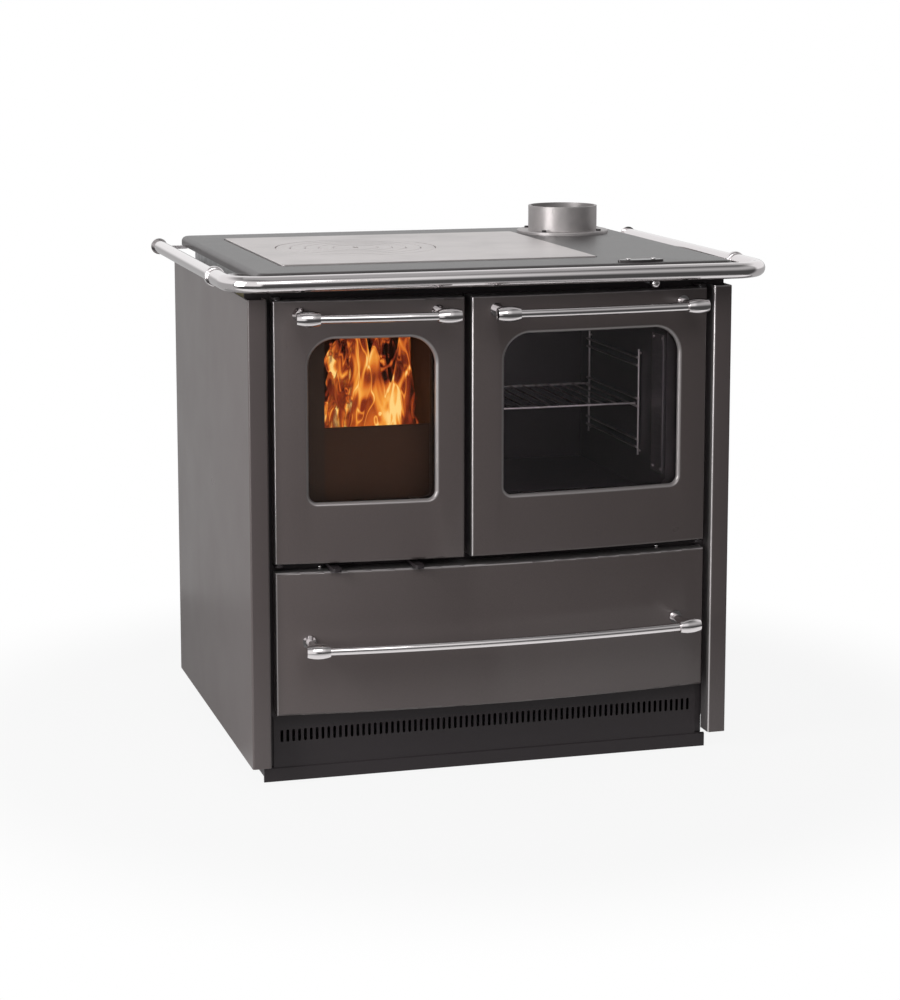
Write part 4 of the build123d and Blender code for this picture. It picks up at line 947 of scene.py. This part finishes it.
class STOVE_OT_fire(bpy.types.Operator):
    """Lay the logs and light the flames"""

    bl_idname = "stove.fire"
    bl_label = "Fire"

    def execute(self, context):
        fire = context.scene.stove_fire
        dice = random.Random(fire.seed)
        left, right = GRATE_LOW.x + 0.012, GRATE_HIGH.x - 0.012
        middle = (left + right) / 2
        front = GRATE_LOW.y
        grate = GRATE_HIGH.z
        radius = fire.log_radius
        rests = [
            ((left + radius, front + 0.06, grate + radius), (left + radius, front + 0.33, grate + radius)),
            ((right - radius, front + 0.05, grate + radius), (right - radius, front + 0.34, grate + radius)),
            ((middle, front + 0.07, grate + radius), (middle + 0.008, front + 0.35, grate + radius)),
            (
                (left + 0.012, front + 0.1, grate + 2.6 * radius),
                (right - 0.02, front + 0.16, grate + 2.9 * radius),
            ),
            (
                (left + 0.03, front + 0.26, grate + 2.8 * radius),
                (right - 0.012, front + 0.19, grate + 2.7 * radius),
            ),
        ]

        def logs(bm):
            for number, (start, end) in enumerate(rests):
                rough_log(bm, start, end, radius * (0.9 if number < 3 else 0.75), number * 3.1)

        new_piece("burning_logs", logs, charred_wood("Burning wood"), "stove")

        def flames(bm):
            foot = RETAINER_TOP - 0.05
            ceiling = BRICK_TOP - 0.004 - foot
            for number in range(fire.veils):
                share = number / max(1, fire.veils - 1)
                depth = front + 0.045 + 0.14 * share
                rise = min(ceiling, 0.05 + fire.flame_height * (0.85 + 0.3 * dice.random()))
                flame_veil(bm, left, right, depth, foot, rise, 3.7 * number + dice.random())

        piece = new_piece("flames", flames, flame_light("Flame", fire.flame_strength), "stove")
        skin = piece.modifiers.new("Veil thickness", "SOLIDIFY")
        skin.thickness = 0.0015
        skin.offset = 0.0
        return {"FINISHED"}


class STOVE_OT_stage(bpy.types.Operator):
    """Set the floor, the lamps, the world and the camera"""

    bl_idname = "stove.stage"
    bl_label = "Studio"

    def execute(self, context):
        settings = context.scene.stove_stage
        scene = context.scene
        floor_mesh = bpy.data.meshes.new("floor")
        bm = bmesh.new()
        bmesh.ops.create_circle(bm, cap_ends=True, segments=128, radius=FLOOR_RADIUS)
        bm.to_mesh(floor_mesh)
        bm.free()
        floor = bpy.data.objects.new("floor", floor_mesh)
        scene.collection.objects.link(floor)
        floor_mesh.materials.append(self.floor_material())

        self.lamp("key", settings.key_power, (-2.35, -1.1, 1.2), (0.0, -0.3, 0.5), 1.0, 1.9)
        self.lamp("fill", settings.fill_power, (-0.7, -4.0, 3.1), (0.0, 0.0, 0.45), 2.4, 1.8)
        self.lamp("top", settings.top_power, (0.2, 0.3, 3.6), (0.0, 0.0, 0.8), 3.0, 3.0)

        world = bpy.data.worlds.new("Studio")
        scene.world = world
        world.use_nodes = True
        tree = world.node_tree
        backdrop = tree.nodes["Background"]
        backdrop.inputs["Color"].default_value = (1.0, 1.0, 1.0, 1.0)
        path = tree.nodes.new("ShaderNodeLightPath")
        direction = tree.nodes.new("ShaderNodeTexCoord")
        parts = tree.nodes.new("ShaderNodeSeparateXYZ")
        tree.links.new(direction.outputs["Generated"], parts.inputs["Vector"])
        across, depth, height = parts.outputs["X"], parts.outputs["Y"], parts.outputs["Z"]
        # Behind the stove the room is white, dimmer below the horizon.
        behind = calculate(
            tree,
            "MULTIPLY",
            blend_in(tree, depth, -0.3, 0.05),
            spread(tree, blend_in(tree, height, -0.04, 0.14), settings.low_wall, 1.0),
        )
        # In front a bright wall stands at the left, and the room brightens upwards.
        slant = calculate(tree, "SUBTRACT", across, calculate(tree, "MULTIPLY", height, 0.15))
        wall = calculate(
            tree,
            "MULTIPLY",
            calculate(tree, "MULTIPLY", blend_in(tree, slant, -0.06, -0.28), blend_in(tree, height, -0.36, -0.1)),
            blend_in(tree, depth, 0.0, -0.3),
        )
        band = calculate(
            tree,
            "MULTIPLY",
            blend_in(tree, height, -0.1, 0.5),
            spread(tree, blend_in(tree, across, 0.2, 0.4), 1.0, 0.5),
        )
        front = calculate(tree, "MAXIMUM", wall, band)
        bright = calculate(tree, "MAXIMUM", behind, front)
        room = spread(tree, bright, settings.dim_side, 1.0)
        roof = spread(tree, blend_in(tree, height, 0.55, 0.95), 1.0, settings.ceiling)
        seen = calculate(tree, "MAXIMUM", path.outputs["Is Camera Ray"], path.outputs["Is Transmission Ray"])
        shown = calculate(tree, "MAXIMUM", calculate(tree, "MULTIPLY", room, roof), seen)
        open_view = calculate(tree, "MAXIMUM", seen, path.outputs["Is Glossy Ray"])
        share = spread(tree, open_view, settings.ambient, 1.0)
        tree.links.new(calculate(tree, "MULTIPLY", shown, share), backdrop.inputs["Strength"])

        lens = bpy.data.cameras.new("camera")
        lens.sensor_width = 36.0
        lens.lens = settings.lens
        lens.shift_y = -0.1
        lens.clip_start = 0.1
        lens.clip_end = 60.0
        camera = bpy.data.objects.new("camera", lens)
        scene.collection.objects.link(camera)
        camera.location = (-1.212, POST_FACE - 3.9715, 1.2808)
        camera.rotation_euler = (math.radians(90.0) - 0.1547, 0.0, -0.2778)
        scene.camera = camera
        scene.view_settings.view_transform = "Standard"
        return {"FINISHED"}

    def floor_material(self):
        """Pale floor that reads as white to the camera and keeps the stove's shadow."""
        material, tree, shader, coords = start_material("Studio floor")
        shader.inputs["Base Color"].default_value = (0.5, 0.5, 0.5, 1.0)
        shader.inputs["Roughness"].default_value = 0.8
        shader.inputs["Specular IOR Level"].default_value = 0.2
        path = tree.nodes.new("ShaderNodeLightPath")
        white = tree.nodes.new("ShaderNodeEmission")
        white.inputs["Color"].default_value = (1.0, 1.0, 1.0, 1.0)
        mix = tree.nodes.new("ShaderNodeMixShader")
        seen = calculate(tree, "MAXIMUM", path.outputs["Is Camera Ray"], path.outputs["Is Transmission Ray"])
        parts = tree.nodes.new("ShaderNodeSeparateXYZ")
        tree.links.new(coords, parts.inputs["Vector"])
        lit_part = calculate(
            tree,
            "MULTIPLY",
            blend_in(tree, parts.outputs["Y"], 0.0, -0.3),
            blend_in(tree, parts.outputs["Y"], -0.98, -0.5),
        )
        mirrored = calculate(tree, "MULTIPLY", path.outputs["Is Glossy Ray"], lit_part)
        shown = calculate(tree, "MAXIMUM", seen, mirrored)
        distance = tree.nodes.new("ShaderNodeVectorMath")
        distance.operation = "LENGTH"
        tree.links.new(coords, distance.inputs[0])
        away = distance.outputs["Value"]
        whiteness = spread(tree, blend_in(tree, away, 0.6 * FLOOR_RADIUS, 0.96 * FLOOR_RADIUS), 0.9, 1.0)
        beside = calculate(tree, "SUBTRACT", calculate(tree, "ABSOLUTE", parts.outputs["X"]), BASE_HALF)
        before = calculate(tree, "SUBTRACT", calculate(tree, "ABSOLUTE", parts.outputs["Y"]), BASE_REACH)
        outside = blend_in(tree, calculate(tree, "MAXIMUM", beside, before), -0.01, 0.0)
        share = calculate(tree, "MULTIPLY", calculate(tree, "MULTIPLY", shown, whiteness), outside)
        tree.links.new(share, mix.inputs["Fac"])
        tree.links.new(shader.outputs["BSDF"], mix.inputs[1])
        tree.links.new(white.outputs["Emission"], mix.inputs[2])
        tree.links.new(mix.outputs["Shader"], tree.nodes["Material Output"].inputs["Surface"])
        return material

    def lamp(self, name, power, place, aim, width, height):
        """One soft lamp that points at the stove."""
        light = bpy.data.lights.new(name, "AREA")
        light.energy = power
        light.shape = "RECTANGLE"
        light.size = width
        light.size_y = height
        lamp = bpy.data.objects.new(name, light)
        bpy.context.scene.collection.objects.link(lamp)
        lamp.location = place
        lamp.rotation_euler = (Vector(aim) - Vector(place)).to_track_quat("-Z", "Y").to_euler()


class STOVE_PT_panel(bpy.types.Panel):
    """Sidebar panel with the stove's finishes, fire and studio"""

    bl_label = "Cookstove"
    bl_idname = "STOVE_PT_panel"
    bl_space_type = "VIEW_3D"
    bl_region_type = "UI"
    bl_category = "Cookstove"

    def draw(self, context):
        layout = self.layout
        for group in ("stove_finish", "stove_fire", "stove_stage"):
            settings = getattr(context.scene, group)
            box = layout.box()
            for name in settings.bl_rna.properties.keys():
                if name not in ("rna_type", "name"):
                    box.prop(settings, name)
        for operator in OPERATORS:
            layout.operator(operator.bl_idname)


GROUPS = (StoveFinish, StoveFire, StoveStage)
OPERATORS = (
    STOVE_OT_enamel_sheets,
    STOVE_OT_painted_steel,
    STOVE_OT_iron_top,
    STOVE_OT_plated_pieces,
    STOVE_OT_glazing,
    STOVE_OT_oven_lining,
    STOVE_OT_inner_steel,
    STOVE_OT_firebox_lining,
    STOVE_OT_fire,
    STOVE_OT_stage,
)


def register():
    for cls in GROUPS + OPERATORS + (STOVE_PT_panel,):
        bpy.utils.register_class(cls)
    bpy.types.Scene.stove_finish = bpy.props.PointerProperty(type=StoveFinish)
    bpy.types.Scene.stove_fire = bpy.props.PointerProperty(type=StoveFire)
    bpy.types.Scene.stove_stage = bpy.props.PointerProperty(type=StoveStage)


def unregister():
    del bpy.types.Scene.stove_stage
    del bpy.types.Scene.stove_fire
    del bpy.types.Scene.stove_finish
    for cls in reversed(GROUPS + OPERATORS + (STOVE_PT_panel,)):
        bpy.utils.unregister_class(cls)


def main():
    register()
    bpy.ops.stove.enamel_sheets()
    bpy.ops.stove.painted_steel()
    bpy.ops.stove.iron_top()
    bpy.ops.stove.plated_pieces()
    bpy.ops.stove.glazing()
    bpy.ops.stove.oven_lining()
    bpy.ops.stove.inner_steel()
    bpy.ops.stove.firebox_lining()
    bpy.ops.stove.fire()
    bpy.ops.stove.stage()


if __name__ == "__main__":
    main()
